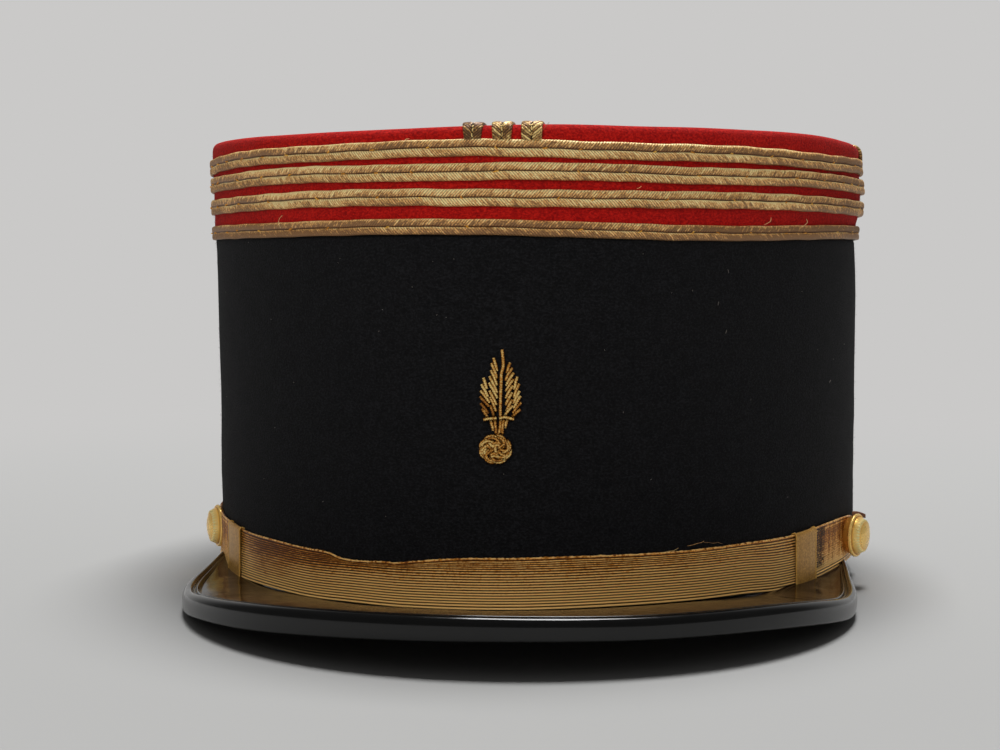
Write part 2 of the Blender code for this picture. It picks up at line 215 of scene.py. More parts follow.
@dataclass
class Heap:
    """Points and faces that become one mesh, with a relief and a tone for each point.

    Relief is 0 at the bottom of a groove and 1 on a ridge. Tone picks a shade of the finish.
    """

    points: list[Points] = field(default_factory=list)
    quads: list[np.ndarray] = field(default_factory=list)
    relief: list[Values] = field(default_factory=list)
    tone: list[Values] = field(default_factory=list)
    count: int = 0

    def add(self, points: Points, quads: np.ndarray, relief: Values, tone: Values) -> None:
        """Adds points and the four-sided faces between them.

        Args:
            points: the points.
            quads: the corners of each face, counted from the first of these points.
            relief: relief of each point.
            tone: tone of each point.
        """
        self.points.append(points)
        self.quads.append(quads + self.count)
        self.relief.append(relief)
        self.tone.append(tone)
        self.count += len(points)

    def grid(
        self,
        points: Points,
        relief: Values | float = 1.0,
        tone: Values | float = 0.5,
        wrap_rows: bool = False,
        wrap_columns: bool = False,
        flip: bool = False,
    ) -> None:
        """Adds a grid of faces.

        Args:
            points: an array of rows, columns and x, y, z.
            relief: relief of each point, of each row, or of all.
            tone: tone of each point, of each row, or of all.
            wrap_rows: joins the last row to the first.
            wrap_columns: joins the last column to the first.
            flip: turns the faces round.
        """
        shape = points.shape[:2]
        index = np.arange(shape[0] * shape[1]).reshape(shape)
        if wrap_rows:
            index = np.concatenate([index, index[:1]], axis=0)
        if wrap_columns:
            index = np.concatenate([index, index[:, :1]], axis=1)
        corners = [index[:-1, :-1], index[:-1, 1:], index[1:, 1:], index[1:, :-1]]
        if flip:
            corners.reverse()
        spread = []
        for value in (relief, tone):
            value = np.asarray(value, float)
            value = value[:, None] if value.ndim == 1 else value
            spread.append(np.broadcast_to(value, shape).reshape(-1))
        self.add(points.reshape(-1, 3), np.stack(corners, axis=-1).reshape(-1, 4), *spread)

    def rod(
        self,
        points: Points,
        relief: Values | float = 1.0,
        tone: Values | float = 0.5,
        end_tone: float = 0.5,
        flip: bool = False,
    ) -> None:
        """Adds a grid that wraps round its columns and is closed at both ends; see grid."""
        self.grid(points, relief, tone, wrap_columns=True, flip=flip)
        for ring, turned in ((points[0], not flip), (points[-1], flip)):
            middle = ring.mean(axis=0)
            shrunk = [middle + (ring - middle) * share for share in END_ROWS]
            self.grid(np.stack(shrunk), 1.0, end_tone, wrap_columns=True, flip=turned)

    def tube(
        self,
        path: Points,
        radius: Values | float,
        sides: int,
        upward: Points,
        relief: Values | float = 1.0,
        tone: Values | float = 0.5,
        closed: bool = False,
        coil: float = 0.0,
        coil_depth: float = 0.0,
        flank_shading: float = 0.0,
    ) -> None:
        """Adds a round strand along a path.

        Args:
            path: points along the strand.
            radius: its radius at each point, or all along.
            sides: how many sides it has.
            upward: the direction that its cross-section starts from.
            relief: relief of each point of the path, or of all.
            tone: tone of each point of the path, or of all.
            closed: joins its end to its start.
            coil: length of one turn of the wire that is wound round it, or 0 for a plain strand.
            coil_depth: depth of the grooves between the turns, as a share of the radius.
            flank_shading: painted shade on its sides and back and a painted highlight on top, from 0
                to 1.
        """
        ahead = np.roll(path, -1, axis=0) - np.roll(path, 1, axis=0)
        if not closed:
            ahead[0], ahead[-1] = path[1] - path[0], path[-1] - path[-2]
        ahead = unit(ahead, NO_LENGTH)
        across = unit(np.cross(ahead, np.broadcast_to(upward, path.shape)), NO_LENGTH)
        up = np.cross(across, ahead)
        turn = np.linspace(0, math.tau, sides, endpoint=False)
        size = np.broadcast_to(np.asarray(radius, float), len(path))[:, None]
        relief = np.broadcast_to(np.asarray(relief, float), len(path))[:, None]
        # Painted shade on the strand's sides and back, and a painted highlight on its upper face.
        facing = np.clip(np.cos(turn), 0, 1) ** 2
        relief = relief * (1 - flank_shading * (1 - facing))[None]
        if flank_shading:
            tone = tone + flank_shading * (facing[None] - FLANK_TURN)
        if coil:
            wave = half_wave(math.tau * run_along(path)[:, None] / coil + turn[None, :])
            size = size * (1 - coil_depth * (1 - wave))
            relief = relief * (1 - COIL_GROOVE + COIL_GROOVE * wave)
        ring = (
            path[:, None]
            + up[:, None] * (np.cos(turn)[None, :] * size)[..., None]
            + across[:, None] * (np.sin(turn)[None, :] * size)[..., None]
        )
        if closed:
            self.grid(ring, relief, tone, wrap_rows=True, wrap_columns=True, flip=True)
        else:
            self.rod(ring, relief, tone, float(np.mean(tone)), flip=True)

    def build(self, name: str) -> bpy.types.Object:
        """Makes the mesh object.

        Args:
            name: the piece's name.

        Returns:
            The object, in the scene, with smooth shading.
        """
        points = np.concatenate(self.points).astype(np.float32)
        quads = np.concatenate(self.quads).astype(np.int32)
        mesh = bpy.data.meshes.new(name)
        mesh.vertices.add(len(points))
        mesh.vertices.foreach_set("co", points.ravel())
        mesh.loops.add(len(quads) * 4)
        mesh.loops.foreach_set("vertex_index", quads.ravel())
        mesh.polygons.add(len(quads))
        mesh.polygons.foreach_set("loop_start", np.arange(0, len(quads) * 4, 4, dtype=np.int32))
        for label, parts in (("relief", self.relief), ("tone", self.tone)):
            layer = mesh.attributes.new(label, "FLOAT", "POINT")
            layer.data.foreach_set("value", np.concatenate(parts).astype(np.float32))
        mesh.update(calc_edges=True)
        mesh.validate()
        mesh.shade_smooth()
        piece = bpy.data.objects.new(name, mesh)
        bpy.context.scene.collection.objects.link(piece)
        return piece


def unit(vectors: Points, least: float = 0.0) -> Points:
    """Vectors made 1 long, with least added to each length so that none is divided by zero."""
    return vectors / (np.linalg.norm(vectors, axis=-1, keepdims=True) + least)


def run_along(path: Points) -> Values:
    """The length of a path from its start to each of its points."""
    return np.concatenate([[0.0], np.cumsum(np.linalg.norm(np.diff(path, axis=0), axis=1))])


def right_of(line: Points) -> Points:
    """The direction to the right of a flat line at each of its points."""
    slope = unit(np.gradient(line, axis=0))
    return np.stack([slope[:, 1], -slope[:, 0]], axis=1)


def level_axes(facing: float) -> tuple[Points, Points]:
    """The level direction at an angle from +X, and the one a quarter turn to its left."""
    ahead = np.array([math.cos(facing), math.sin(facing), 0.0])
    return ahead, np.array([-ahead[1], ahead[0], 0.0])


def smooth_step(share: Values, height: Values | float = 1.0) -> Values:
    """Rises from 0 to a height, softly at both ends, while share goes from 0 to 1."""
    return height * share * share * (3 - 2 * share)


def ramp(at: Values, start: Values | float, width: float) -> Values:
    """Goes evenly from 0 at a start to 1 a width further on; a width below 0 runs downwards."""
    return np.clip((at - start) / width, 0, 1)


def bell(at: Values, centre: float, reach: float) -> Values:
    """A smooth bump of height 1 at a centre, which has all but gone at twice its reach."""
    return np.exp(-(((at - centre) / reach) ** 2))


def half_wave(turn: Values) -> Values:
    """A wave between 0 and 1 that starts at its top."""
    return 0.5 + 0.5 * np.cos(turn)


def smooth_line(stations: Sequence[Sequence[float]], at: Values) -> Values:
    """Reads smooth curves through a table of stations.

    Args:
        stations: rows that start with a place and go on with one or more values.
        at: the places to read.

    Returns:
        One column for each value, or a plain array where the rows hold one value.
    """
    table = np.asarray(stations, float)
    places, values = table[:, 0], table[:, 1:]
    slopes = np.gradient(values, places, axis=0)
    at = np.clip(np.asarray(at, float), places[0], places[-1])
    i = np.clip(np.searchsorted(places, at, side="right") - 1, 0, len(places) - 2)
    width = (places[i + 1] - places[i])[..., None]
    t = ((at - places[i]) / (places[i + 1] - places[i]))[..., None]
    start = (2 * t**3 - 3 * t**2 + 1) * values[i] + (t**3 - 2 * t**2 + t) * width * slopes[i]
    end = (3 * t**2 - 2 * t**3) * values[i + 1] + (t**3 - t**2) * width * slopes[i + 1]
    read = start + end
    return read[..., 0] if values.shape[1] == 1 else read


def through(points: Sequence[Sequence[float]], count: int, closed: bool = False) -> Points:
    """A smooth curve through points, evenly sampled by length.

    Args:
        points: the points, with two or three coordinates.
        count: how many points to return.
        closed: whether the curve runs back to its start, which isn't repeated.

    Returns:
        The points of the curve.
    """
    knots = np.asarray(points, float)
    if closed:
        knots = np.concatenate([knots[-1:], knots, knots[:2]])
    else:
        first, last = 2 * knots[0] - knots[1], 2 * knots[-1] - knots[-2]
        knots = np.concatenate([[first], knots, [last]])
    fine = []
    t = np.linspace(0, 1, 24, endpoint=False)[:, None]
    for a, b, c, d in zip(knots, knots[1:], knots[2:], knots[3:]):
        fine.append(
            0.5 * (2 * b + (c - a) * t + (2 * a - 5 * b + 4 * c - d) * t**2)
            + 0.5 * (3 * b - 3 * c + d - a) * t**3
        )
    curve = np.concatenate(fine + [knots[-2][None]])
    run = run_along(curve)
    where = np.linspace(0, run[-1], count, endpoint=not closed)
    return np.stack([np.interp(where, run, column) for column in curve.T], axis=-1)


def ripple(along: Values, girth: float, counts: Sequence[int], seed: int) -> Values:
    """A smooth random wave round the cap that meets itself, of height about 1."""
    rng = np.random.default_rng(seed)
    total = np.zeros_like(np.asarray(along, float))
    for count in counts:
        total += rng.normal() * np.sin(math.tau * (count * along / girth + rng.random()))
    return total / math.sqrt(len(counts))


def lay_threads(count: int) -> tuple[Values, Values]:
    """Places the points of a row of threads: one in each groove and two on each ridge.

    Args:
        count: how many threads there are.

    Returns:
        Places counted in threads, and 0 in a groove and 1 on a ridge for each.
    """
    places = np.arange(count)[:, None] + np.array([0.0, 0.3, 0.7])
    return places.ravel(), np.tile([0.0, 1.0, 1.0], count)


def smooth_noise(shape: tuple[int, int], cells: tuple[int, int], seed: int) -> Values:
    """Random hills over a grid that wraps round its columns, of height about 1.

    Args:
        shape: rows and columns of the grid.
        cells: how many random values there are down and round it.
        seed: start of the random numbers.

    Returns:
        A height for each point of the grid.
    """
    rng = np.random.default_rng(seed)
    coarse = rng.normal(size=cells)
    down = np.linspace(0, cells[0] - 1.001, shape[0])
    round_ = np.arange(shape[1]) * cells[1] / shape[1]
    i, j = down.astype(int), round_.astype(int)
    u, v = (down - i)[:, None], (round_ - j)[None, :]
    u, v = smooth_step(u), smooth_step(v)
    after = (j + 1) % cells[1]
    top = coarse[i][:, j] * (1 - v) + coarse[i][:, after] * v
    low = coarse[i + 1][:, j] * (1 - v) + coarse[i + 1][:, after] * v
    return top * (1 - u) + low * u


def uneven(shape: tuple[int, int], *layers: tuple[tuple[int, int], float, int]) -> Values:
    """Adds up smooth_noise from layers of cells, a height in millimetres and a seed."""
    return sum(smooth_noise(shape, cells, seed) * height * MM for cells, height, seed in layers)


# ---- Finishes ----


def linear(hex_colour: str) -> tuple[float, float, float, float]:
    """Turns an sRGB hex colour into linear values.

    Args:
        hex_colour: six hex digits.

    Returns:
        Linear red, green and blue, and full opacity.
    """
    parts = [int(hex_colour[i : i + 2], 16) / 255 for i in (0, 2, 4)]
    turned = [p / 12.92 if p <= 0.04045 else ((p + 0.055) / 1.055) ** 2.4 for p in parts]
    return (*turned, 1.0)


def connect(tree: bpy.types.NodeTree, node: bpy.types.Node, inputs: dict[str | int, Any]) -> None:
    """Gives a node's inputs their values and links.

    Args:
        tree: the material's nodes.
        node: the node.
        inputs: for each input, by name or number, a value, an output socket or a node, which
            stands for its first output.
    """
    for label, value in inputs.items():
        if isinstance(value, bpy.types.Node):
            value = value.outputs[0]
        if isinstance(value, bpy.types.NodeSocket):
            tree.links.new(value, node.inputs[label])
        else:
            node.inputs[label].default_value = value


def add_node(
    tree: bpy.types.NodeTree, kind: str, inputs: dict[str | int, Any], **settings: Any
) -> bpy.types.Node:
    """Adds a shader node with its settings, values and links.

    Args:
        tree: the material's nodes.
        kind: the node's type, without the ShaderNode that it starts with.
        inputs: what each input gets; see connect.
        settings: the node's own settings. ramp gives a colour ramp's places and colours.

    Returns:
        The node.
    """
    made = tree.nodes.new("ShaderNode" + kind)
    ramp = settings.pop("ramp", ())
    for label, value in settings.items():
        setattr(made, label, value)
    if ramp:
        stops = made.color_ramp.elements
        while len(stops) < len(ramp):
            stops.new(0.5)
        for stop, (place, colour) in zip(stops, ramp):
            stop.position = place
            stop.color = linear(colour)
    connect(tree, made, inputs)
    return made


def start_material(name: str) -> tuple[bpy.types.Material, bpy.types.NodeTree, bpy.types.Node]:
    """A new material, its nodes and its shader.

    Args:
        name: the material's name.

    Returns:
        The material, its node tree and its Principled BSDF.
    """
    made = bpy.data.materials.new(name)
    made.use_nodes = True
    return made, made.node_tree, made.node_tree.nodes["Principled BSDF"]


def add_noise(
    tree: bpy.types.NodeTree,
    size_mm: float,
    detail: float = 2.0,
    stretch: tuple[float, float, float] = (1, 1, 1),
) -> bpy.types.Node:
    """Adds noise whose lumps have a real size.

    Args:
        tree: the material's nodes.
        size_mm: size of a lump, in millimetres.
        detail: how many finer layers it has.
        stretch: how many times longer the lumps are along x, y and z.

    Returns:
        The noise, whose first output is its value.
    """
    object_place = add_node(tree, "TexCoord", {}).outputs["Object"]
    scale = [1 / MM / size_mm / part for part in stretch]
    scaled = add_node(tree, "Mapping", {"Vector": object_place, "Scale": scale})
    return add_node(tree, "TexNoise", {"Vector": scaled, "Scale": 1.0, "Detail": detail})


@dataclass(frozen=True)
class MilledWool:
    """Wool cloth, fulled and pressed: a short matt nap that hides the weave and catches lint."""

    name: str
    dark: str
    middle: str
    light: str
    sheen: float
    sheen_tint: str
    nap_mm: float = 0.6
    nap_depth: float = 0.5

    def material(self) -> bpy.types.Material:
        """Builds the material: clumped nap in colour and bump, with a soft sheen."""
        made, tree, shader = start_material(self.name)
        nap = add_noise(tree, self.nap_mm, 3.0, (1.0, 1.0, 0.7))
        fine = add_noise(tree, self.nap_mm * 0.35)
        clump = add_noise(tree, self.nap_mm * 5)
        total = add_node(tree, "Math", {0: fine, 1: 0.55, 2: nap}, operation="MULTIPLY_ADD")
        mixed = add_node(tree, "Math", {0: clump, 1: 0.15, 2: total}, operation="MULTIPLY_ADD")
        shade = add_node(tree, "MapRange", {"Value": mixed, "From Min": 0.67, "From Max": 1.03})
        ramp = ((0.0, self.dark), (0.5, self.middle), (1.0, self.light))
        bump = {"Height": total, "Distance": 0.5 * MM, "Strength": self.nap_depth}
        inputs = {
            "Base Color": add_node(tree, "ValToRGB", {"Fac": shade}, ramp=ramp),
            "Normal": add_node(tree, "Bump", bump),
            "Roughness": 0.95,
            "Specular IOR Level": 0.2,
            "Sheen Weight": self.sheen,
            "Sheen Roughness": 0.45,
            "Sheen Tint": linear(self.sheen_tint),
        }
        connect(tree, shader, inputs)
        return made


@dataclass(frozen=True)
class GiltThread:
    """Silk wound with gilt metal strip: bright on the ridges, brown where tarnish has settled.

    Where the mesh's relief is low, the groove colour is mixed in: painted shade in the grooves
    between the threads and on the strands' sides, and on the strap also its black tarnish. The
    tone goes from tarnished to bright, and also carries painted light. Patches of tarnish run
    over several centimetres.
    """

    name: str
    groove: str
    tarnished: str
    middle: str
    bright: str
    metallic: float
    roughness: float
    patch_mm: float
    grit_mm: float = 0.42

    def material(self) -> bpy.types.Material:
        """Builds the material from the mesh's relief and tone, with patches of tarnish."""
        made, tree, shader = start_material(self.name)
        relief = add_node(tree, "Attribute", {}, attribute_name="relief").outputs["Fac"]
        tone = add_node(tree, "Attribute", {}, attribute_name="tone").outputs["Fac"]
        patch = add_noise(tree, self.patch_mm)
        grit = add_noise(tree, self.grit_mm, 1.0)
        patched = add_node(tree, "Math", {0: patch, 1: 0.5, 2: tone}, operation="MULTIPLY_ADD")
        mixed = add_node(tree, "Math", {0: grit, 1: 1.7, 2: patched}, operation="MULTIPLY_ADD")
        shade = add_node(tree, "MapRange", {"Value": mixed, "From Min": 1.05, "From Max": 2.15})
        ramp = ((0.0, self.tarnished), (0.5, self.middle), (1.0, self.bright))
        colour = add_node(tree, "ValToRGB", {"Fac": shade}, ramp=ramp)
        # Low relief mixes in the groove colour: painted shade in grooves, and the strap's black
        # tarnish.
        ridge = {"Value": relief, "From Min": 0.05, "From Max": 0.7}
        depth = add_node(tree, "MapRange", ridge, interpolation_type="SMOOTHSTEP")
        # These are the numbers of a Mix node's share and of its two colours.
        shares = {0: depth, 6: linear(self.groove), 7: colour}
        dressed = add_node(tree, "Mix", shares, data_type="RGBA")
        bump = {"Height": grit, "Distance": 0.08 * MM, "Strength": 0.7}
        inputs = {
            "Base Color": dressed.outputs[2],
            "Normal": add_node(tree, "Bump", bump),
            "Metallic": self.metallic,
            "Roughness": self.roughness,
        }
        connect(tree, shader, inputs)
        return made


@dataclass(frozen=True)
class GiltBrass:
    """Stamped brass, fire gilt and handled: satin, with rubbed high places and dull hollows."""

    name: str
    hollow: str
    gold: str
    rubbed: str
    roughness: float = 0.3
    metallic: float = 0.5

    def material(self) -> bpy.types.Material:
        """Builds the material: darker hollows from the relief and fine rubbing marks."""
        made, tree, shader = start_material(self.name)
        relief = add_node(tree, "Attribute", {}, attribute_name="relief").outputs["Fac"]
        ramp = ((0.0, self.hollow), (0.6, self.gold), (1.0, self.rubbed))
        rough = {
            "Value": add_noise(tree, 1.6, 3.0),
            "From Min": 0.3,
            "From Max": 0.7,
            "To Min": self.roughness - 0.08,
            "To Max": self.roughness + 0.12,
        }
        bump = {"Height": add_noise(tree, 0.5), "Distance": 0.03 * MM, "Strength": 0.5}
        inputs = {
            "Base Color": add_node(tree, "ValToRGB", {"Fac": relief}, ramp=ramp),
            "Roughness": add_node(tree, "MapRange", rough),
            "Normal": add_node(tree, "Bump", bump),
            "Metallic": self.metallic,
        }
        connect(tree, shader, inputs)
        return made


@dataclass(frozen=True)
class PatentLeather:
    """Cowhide under a thick lacquer: near black, mirror-like, with faint drag marks and scuffs."""

    name: str
    dark: str
    brown: str
    roughness: float
    drag_mm: float
    drag_depth: float
    specular: float = 0.4

    def material(self) -> bpy.types.Material:
        """Builds the material: a gloss whose bump has the drag marks of the lacquer."""
        made, tree, shader = start_material(self.name)
        stain = add_noise(tree, 16.0, 3.0)
        drag = add_noise(tree, self.drag_mm)
        rough = {
            "Value": drag,
            "From Min": 0.35,
            "From Max": 0.75,
            "To Min": self.roughness,
            "To Max": self.roughness + 0.06,
        }
        bump = {"Height": drag, "Distance": 0.06 * MM, "Strength": self.drag_depth}
        ramp = ((0.35, self.dark), (0.7, self.brown))
        inputs = {
            "Base Color": add_node(tree, "ValToRGB", {"Fac": stain}, ramp=ramp),
            "Roughness": add_node(tree, "MapRange", rough),
            "Normal": add_node(tree, "Bump", bump),
            "Specular IOR Level": self.specular,
        }
        connect(tree, shader, inputs)
        return made


class Finish(Enum):
    """The finishes of this cap."""

    BLUE_BLACK_WOOL = MilledWool(
        "Blue-black milled wool", "0c0c0d", "131314", "1e1e20", 0.015, "b8b8bc"
    )
    RED_WOOL = MilledWool("Red milled wool", "860c0e", "a81410", "c42018", 0.03, "ff8070")
    GOLD_BRAID = GiltThread(
        "Gilt thread, dulled", "52280c", "926a42", "e8ae68", "ffe6a4", 0.2, 0.42, 16.0
    )
    EDGE_BRAID = GiltThread(
        "Gilt thread, bronzed", "180c04", "6c4a2c", "b88a4c", "ffe094", 0.35, 0.4, 5.0
    )
    BULLION = GiltThread("Coiled gilt wire", "140802", "7c4814", "d08c34", "ffdc88", 0.5, 0.24, 5.0)
    STRAP = GiltThread(
        "Gilt ribbed braid, browned", "1c0d04", "7e4416", "d2862c", "ffcc7c", 0.3, 0.36, 20.0
    )
    SLIDE = GiltThread("Gilt ribbon, rubbed", "3a2412", "94682e", "bc8a3e", "dcac58", 0.3, 0.42, 12.0)
    STITCH = GiltThread("Yellow silk stitch", "7a4a10", "c88020", "e8a030", "ffd060", 0.1, 0.5, 9.0)
    LINT = GiltThread("Pale lint", "605a54", "807870", "a09890", "c0b8b0", 0.0, 0.9, 9.0)
    BRASS = GiltBrass("Gilt brass, stamped", "a45c14", "ffc860", "fff0ac")
    PEAK_LEATHER = PatentLeather("Patent leather, browned", "150c09", "2a1810", 0.14, 2.2, 0.14, 0.25)
    RIM_LEATHER = PatentLeather("Patent leather, black", "070707", "0c0c0c", 0.13, 3.0, 0.01)
    BARE_LEATHER = PatentLeather("Strap leather, worn", "5c3826", "a06a48", 0.45, 1.1, 0.25)


class Wardrobe:
    """Makes each finish once and gives it to pieces."""

    def __init__(self) -> None:
        """Starts with no finish made."""
        self._made: dict[Finish, bpy.types.Material] = {}

    def dress(self, heap: Heap, name: str, finish: Finish, slot: str, *replaced: str) -> None:
        """Makes a piece, gives it its finish and its body, and hides the solids that it replaces.

        Args:
            heap: its points and faces.
            name: its name.
            finish: its finish.
            slot: the record's material slot; not used.
            replaced: the solids that it replaces.
        """
        piece = heap.build(name)
        if finish not in self._made:
            self._made[finish] = finish.value.material()
        piece.data.materials.append(self._made[finish])
        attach(piece, ROOT)
        if replaced:
            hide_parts(*replaced)
        LOG.info("%s: %d faces", piece.name, len(piece.data.polygons))


@dataclass
class Dressing:
    """A group of pieces that are set against the cap's form."""

    form: CapForm
    wardrobe: Wardrobe


# ---- Cloth walls ----


@dataclass
class ClothBody(Dressing):
    """The black band, the red wall above it with its rounded shoulder, and the red top.

    shoulder is the red wall's outer face from its foot to the seam of the top: how far inside
    the oval it lies and its height. fibre_lengths and fibre_lifts are the shortest and longest
    fibre of the nap and how far they stand out. All are in millimetres.
    """

    band_height: float = 87.3 * MM
    band_thickness: float = 2.5 * MM
    crown_thickness: float = 2.2 * MM
    top_level: float = 110.4 * MM
    top_inset: float = 7.0 * MM
    top_dish: float = 3.5 * MM
    top_thickness: float = 2.0 * MM
    seam_gap: float = 0.3 * MM
    round_steps: int = 360
    shoulder: Table = (
        (0.0, 87.6), (0.0, 94.0), (0.0, 101.0), (0.0, 107.6), (0.12, 108.9), (0.45, 109.7),
        (1.2, 110.25), (2.6, 110.45), (4.6, 110.5), (7.0, 110.4),
    )
    foot_rise: float = 5.7 * MM
    band_rows: int = 72
    shoulder_rows: int = 70
    edge_round: float = 0.5 * MM
    even_edge: float = 4 * MM
    seam_dip: float = 0.35 * MM
    fibre_lengths: tuple[float, float] = (0.5, 1.5)
    fibre_lifts: tuple[float, float] = (0.1, 0.45)
    fibre_width: float = 0.035 * MM
    black: tuple[Finish, str] = (Finish.BLUE_BLACK_WOOL, "blue_black_wool")
    red: tuple[Finish, str] = (Finish.RED_WOOL, "red_wool")

    def round_angles(self) -> Values:
        """The angles of the steps round the oval."""
        return np.linspace(0, math.tau, self.round_steps, endpoint=False)

    def foot(self, angle: Values) -> Values:
        """Height of the wall's foot: on the floor at the back, and at the peak's seam in front."""
        return smooth_step(ramp(np.sin(angle), 0.95, -1.05), self.foot_rise)

    def sheet(self, node: str, cloth: tuple[Finish, str], outer: Points, inner: Points) -> None:
        """Builds one thick sheet.

        Args:
            node: the name of the solid that it replaces.
            cloth: its finish and material slot.
            outer: rows of its outer face.
            inner: rows of its inner face, in the opposite order.
        """
        heap = Heap()
        heap.grid(np.concatenate([outer, inner]), wrap_rows=True, wrap_columns=True)
        self.wardrobe.dress(heap, f"{node}_cloth", *cloth, node)

    def band(self) -> None:
        """The tall wall: a smooth sheet with a slightly uneven face, turned over at its foot."""
        angles = self.round_angles()
        heights = np.linspace(0, self.band_height, self.band_rows)
        shape = (len(heights), len(angles))
        swell = uneven(shape, ((5, 14), 0.12, 3), ((24, 110), 0.03, 4))
        edge = np.minimum(heights, self.band_height - heights)
        rounding = self.edge_round * np.exp(-edge / self.edge_round)
        swell *= np.minimum(1, edge / self.even_edge)[:, None]
        foot = self.foot(angles)[None]
        level = foot + heights[:, None] * (1 - foot / self.band_height)
        outer = self.form.wall(angles[None], level, swell - rounding[:, None])
        inner = self.form.wall(angles[None], level[::-8], -self.band_thickness)
        self.sheet("band", self.black, outer, inner)

    def crown_side(self) -> None:
        """The red wall, turned in over its rounded shoulder to the seam of the top."""
        angles = self.round_angles()
        line = through(np.array(self.shoulder) * MM, self.shoulder_rows)
        swell = uneven((len(line), len(angles)), ((6, 90), 0.05, 7), ((20, 260), 0.03, 8))
        outer = self.form.wall(angles[None], line[:, 1:], swell - line[:, :1])
        inside = line + right_of(line) * self.crown_thickness
        inside[:, 1] = np.maximum(inside[:, 1], line[0, 1])
        inner = self.form.wall(angles[None], inside[::-4, 1:], -inside[::-4, :1])
        self.sheet("crown_side", self.red, outer, inner)

    def crown_top(self) -> None:
        """The red top: dished, with a soft rolled edge against the seam."""
        angles = self.round_angles()
        edge = self.form.wall(angles, self.top_level, -self.top_inset - self.seam_gap)
        centre = np.array([0.0, self.form.shift, 0.0])
        reach = np.concatenate([np.linspace(1.0, 0.96, 8), np.linspace(0.95, 0.004, 30)])
        dip = self.seam_dip * np.exp(-(1 - reach) * 160)
        level = self.top_level - self.top_dish * (1 - reach**2) - dip
        swell = uneven((len(reach), len(angles)), ((9, 14), 0.25, 12))
        swell = swell * (1 - reach**6)[:, None] * np.minimum(1, reach * 3)[:, None]
        crest = edge[:, 2] - self.top_level
        rows = centre + (edge - centre)[None] * reach[:, None, None]
        rows[..., 2] = level[:, None] + swell + crest[None] * reach[:, None] ** 3
        self.sheet("crown_top", self.red, rows, rows[::-3] - self.top_thickness * UP)

    def nap(self, name: str, cloth: tuple[Finish, str], low: float, high: float, count: int) -> None:
        """Stray fibres of the nap, which soften the cloth's outline.

        Args:
            name: the piece's name.
            cloth: the finish and slot of the cloth that they stand out of.
            low: lowest place of a fibre's root.
            high: highest place of a fibre's root.
            count: how many fibres there are.
        """
        rng = np.random.default_rng(count)
        along = rng.random(count) * self.form.girth
        level = rng.uniform(low, high, count)
        level = np.maximum(level, self.foot(self.form.angle_at(along)) + 0.3 * MM)
        length = rng.uniform(*self.fibre_lengths, count) * MM
        lean = unit(rng.normal(size=(count, 2)))
        proud = rng.uniform(*self.fibre_lifts, count) * MM
        rows = []
        for share, lift in ((0.0, 0.0), (0.5, 0.9), (1.0, 0.55)):
            run = along + lean[:, 0] * length * share
            height = np.maximum(level + lean[:, 1] * length * share, 0.2 * MM)
            taper = self.fibre_width * (1 - 0.7 * share)
            left = self.form.at(run, height, proud * lift)
            right = self.form.at(run + taper * lean[:, 1], height - taper * lean[:, 0], proud * lift)
            rows.append(np.stack([left, right], axis=1))
        strips = np.stack(rows, axis=1).reshape(-1, 3)
        first = np.arange(count)[:, None, None] * 6
        quads = first + np.array([[0, 1, 3, 2], [2, 3, 5, 4]])
        heap = Heap()
        heap.add(strips, quads.reshape(-1, 4), np.ones(len(strips)), np.full(len(strips), 0.5))
        self.wardrobe.dress(heap, name, *cloth)

    def build(self) -> None:
        """Builds all the cloth."""
        self.band()
        self.crown_side()
        self.crown_top()
        self.nap("band_nap", self.black, 0.5 * MM, 87 * MM, 9000)
        self.nap("crown_nap", self.red, 88 * MM, 107.5 * MM, 5000)


# ---- Braid ----


class Wave(NamedTuple):
    """One ripple of a hand-sewn braid round the cap."""

    count: int
    height: float
    phase: float


class Ring(NamedTuple):
    """A horizontal ring of double-cord braid, with the shade of its upper and lower cord."""

    level: float
    width: float
    waves: tuple[Wave, ...]
    upper_tone: float
    lower_tone: float


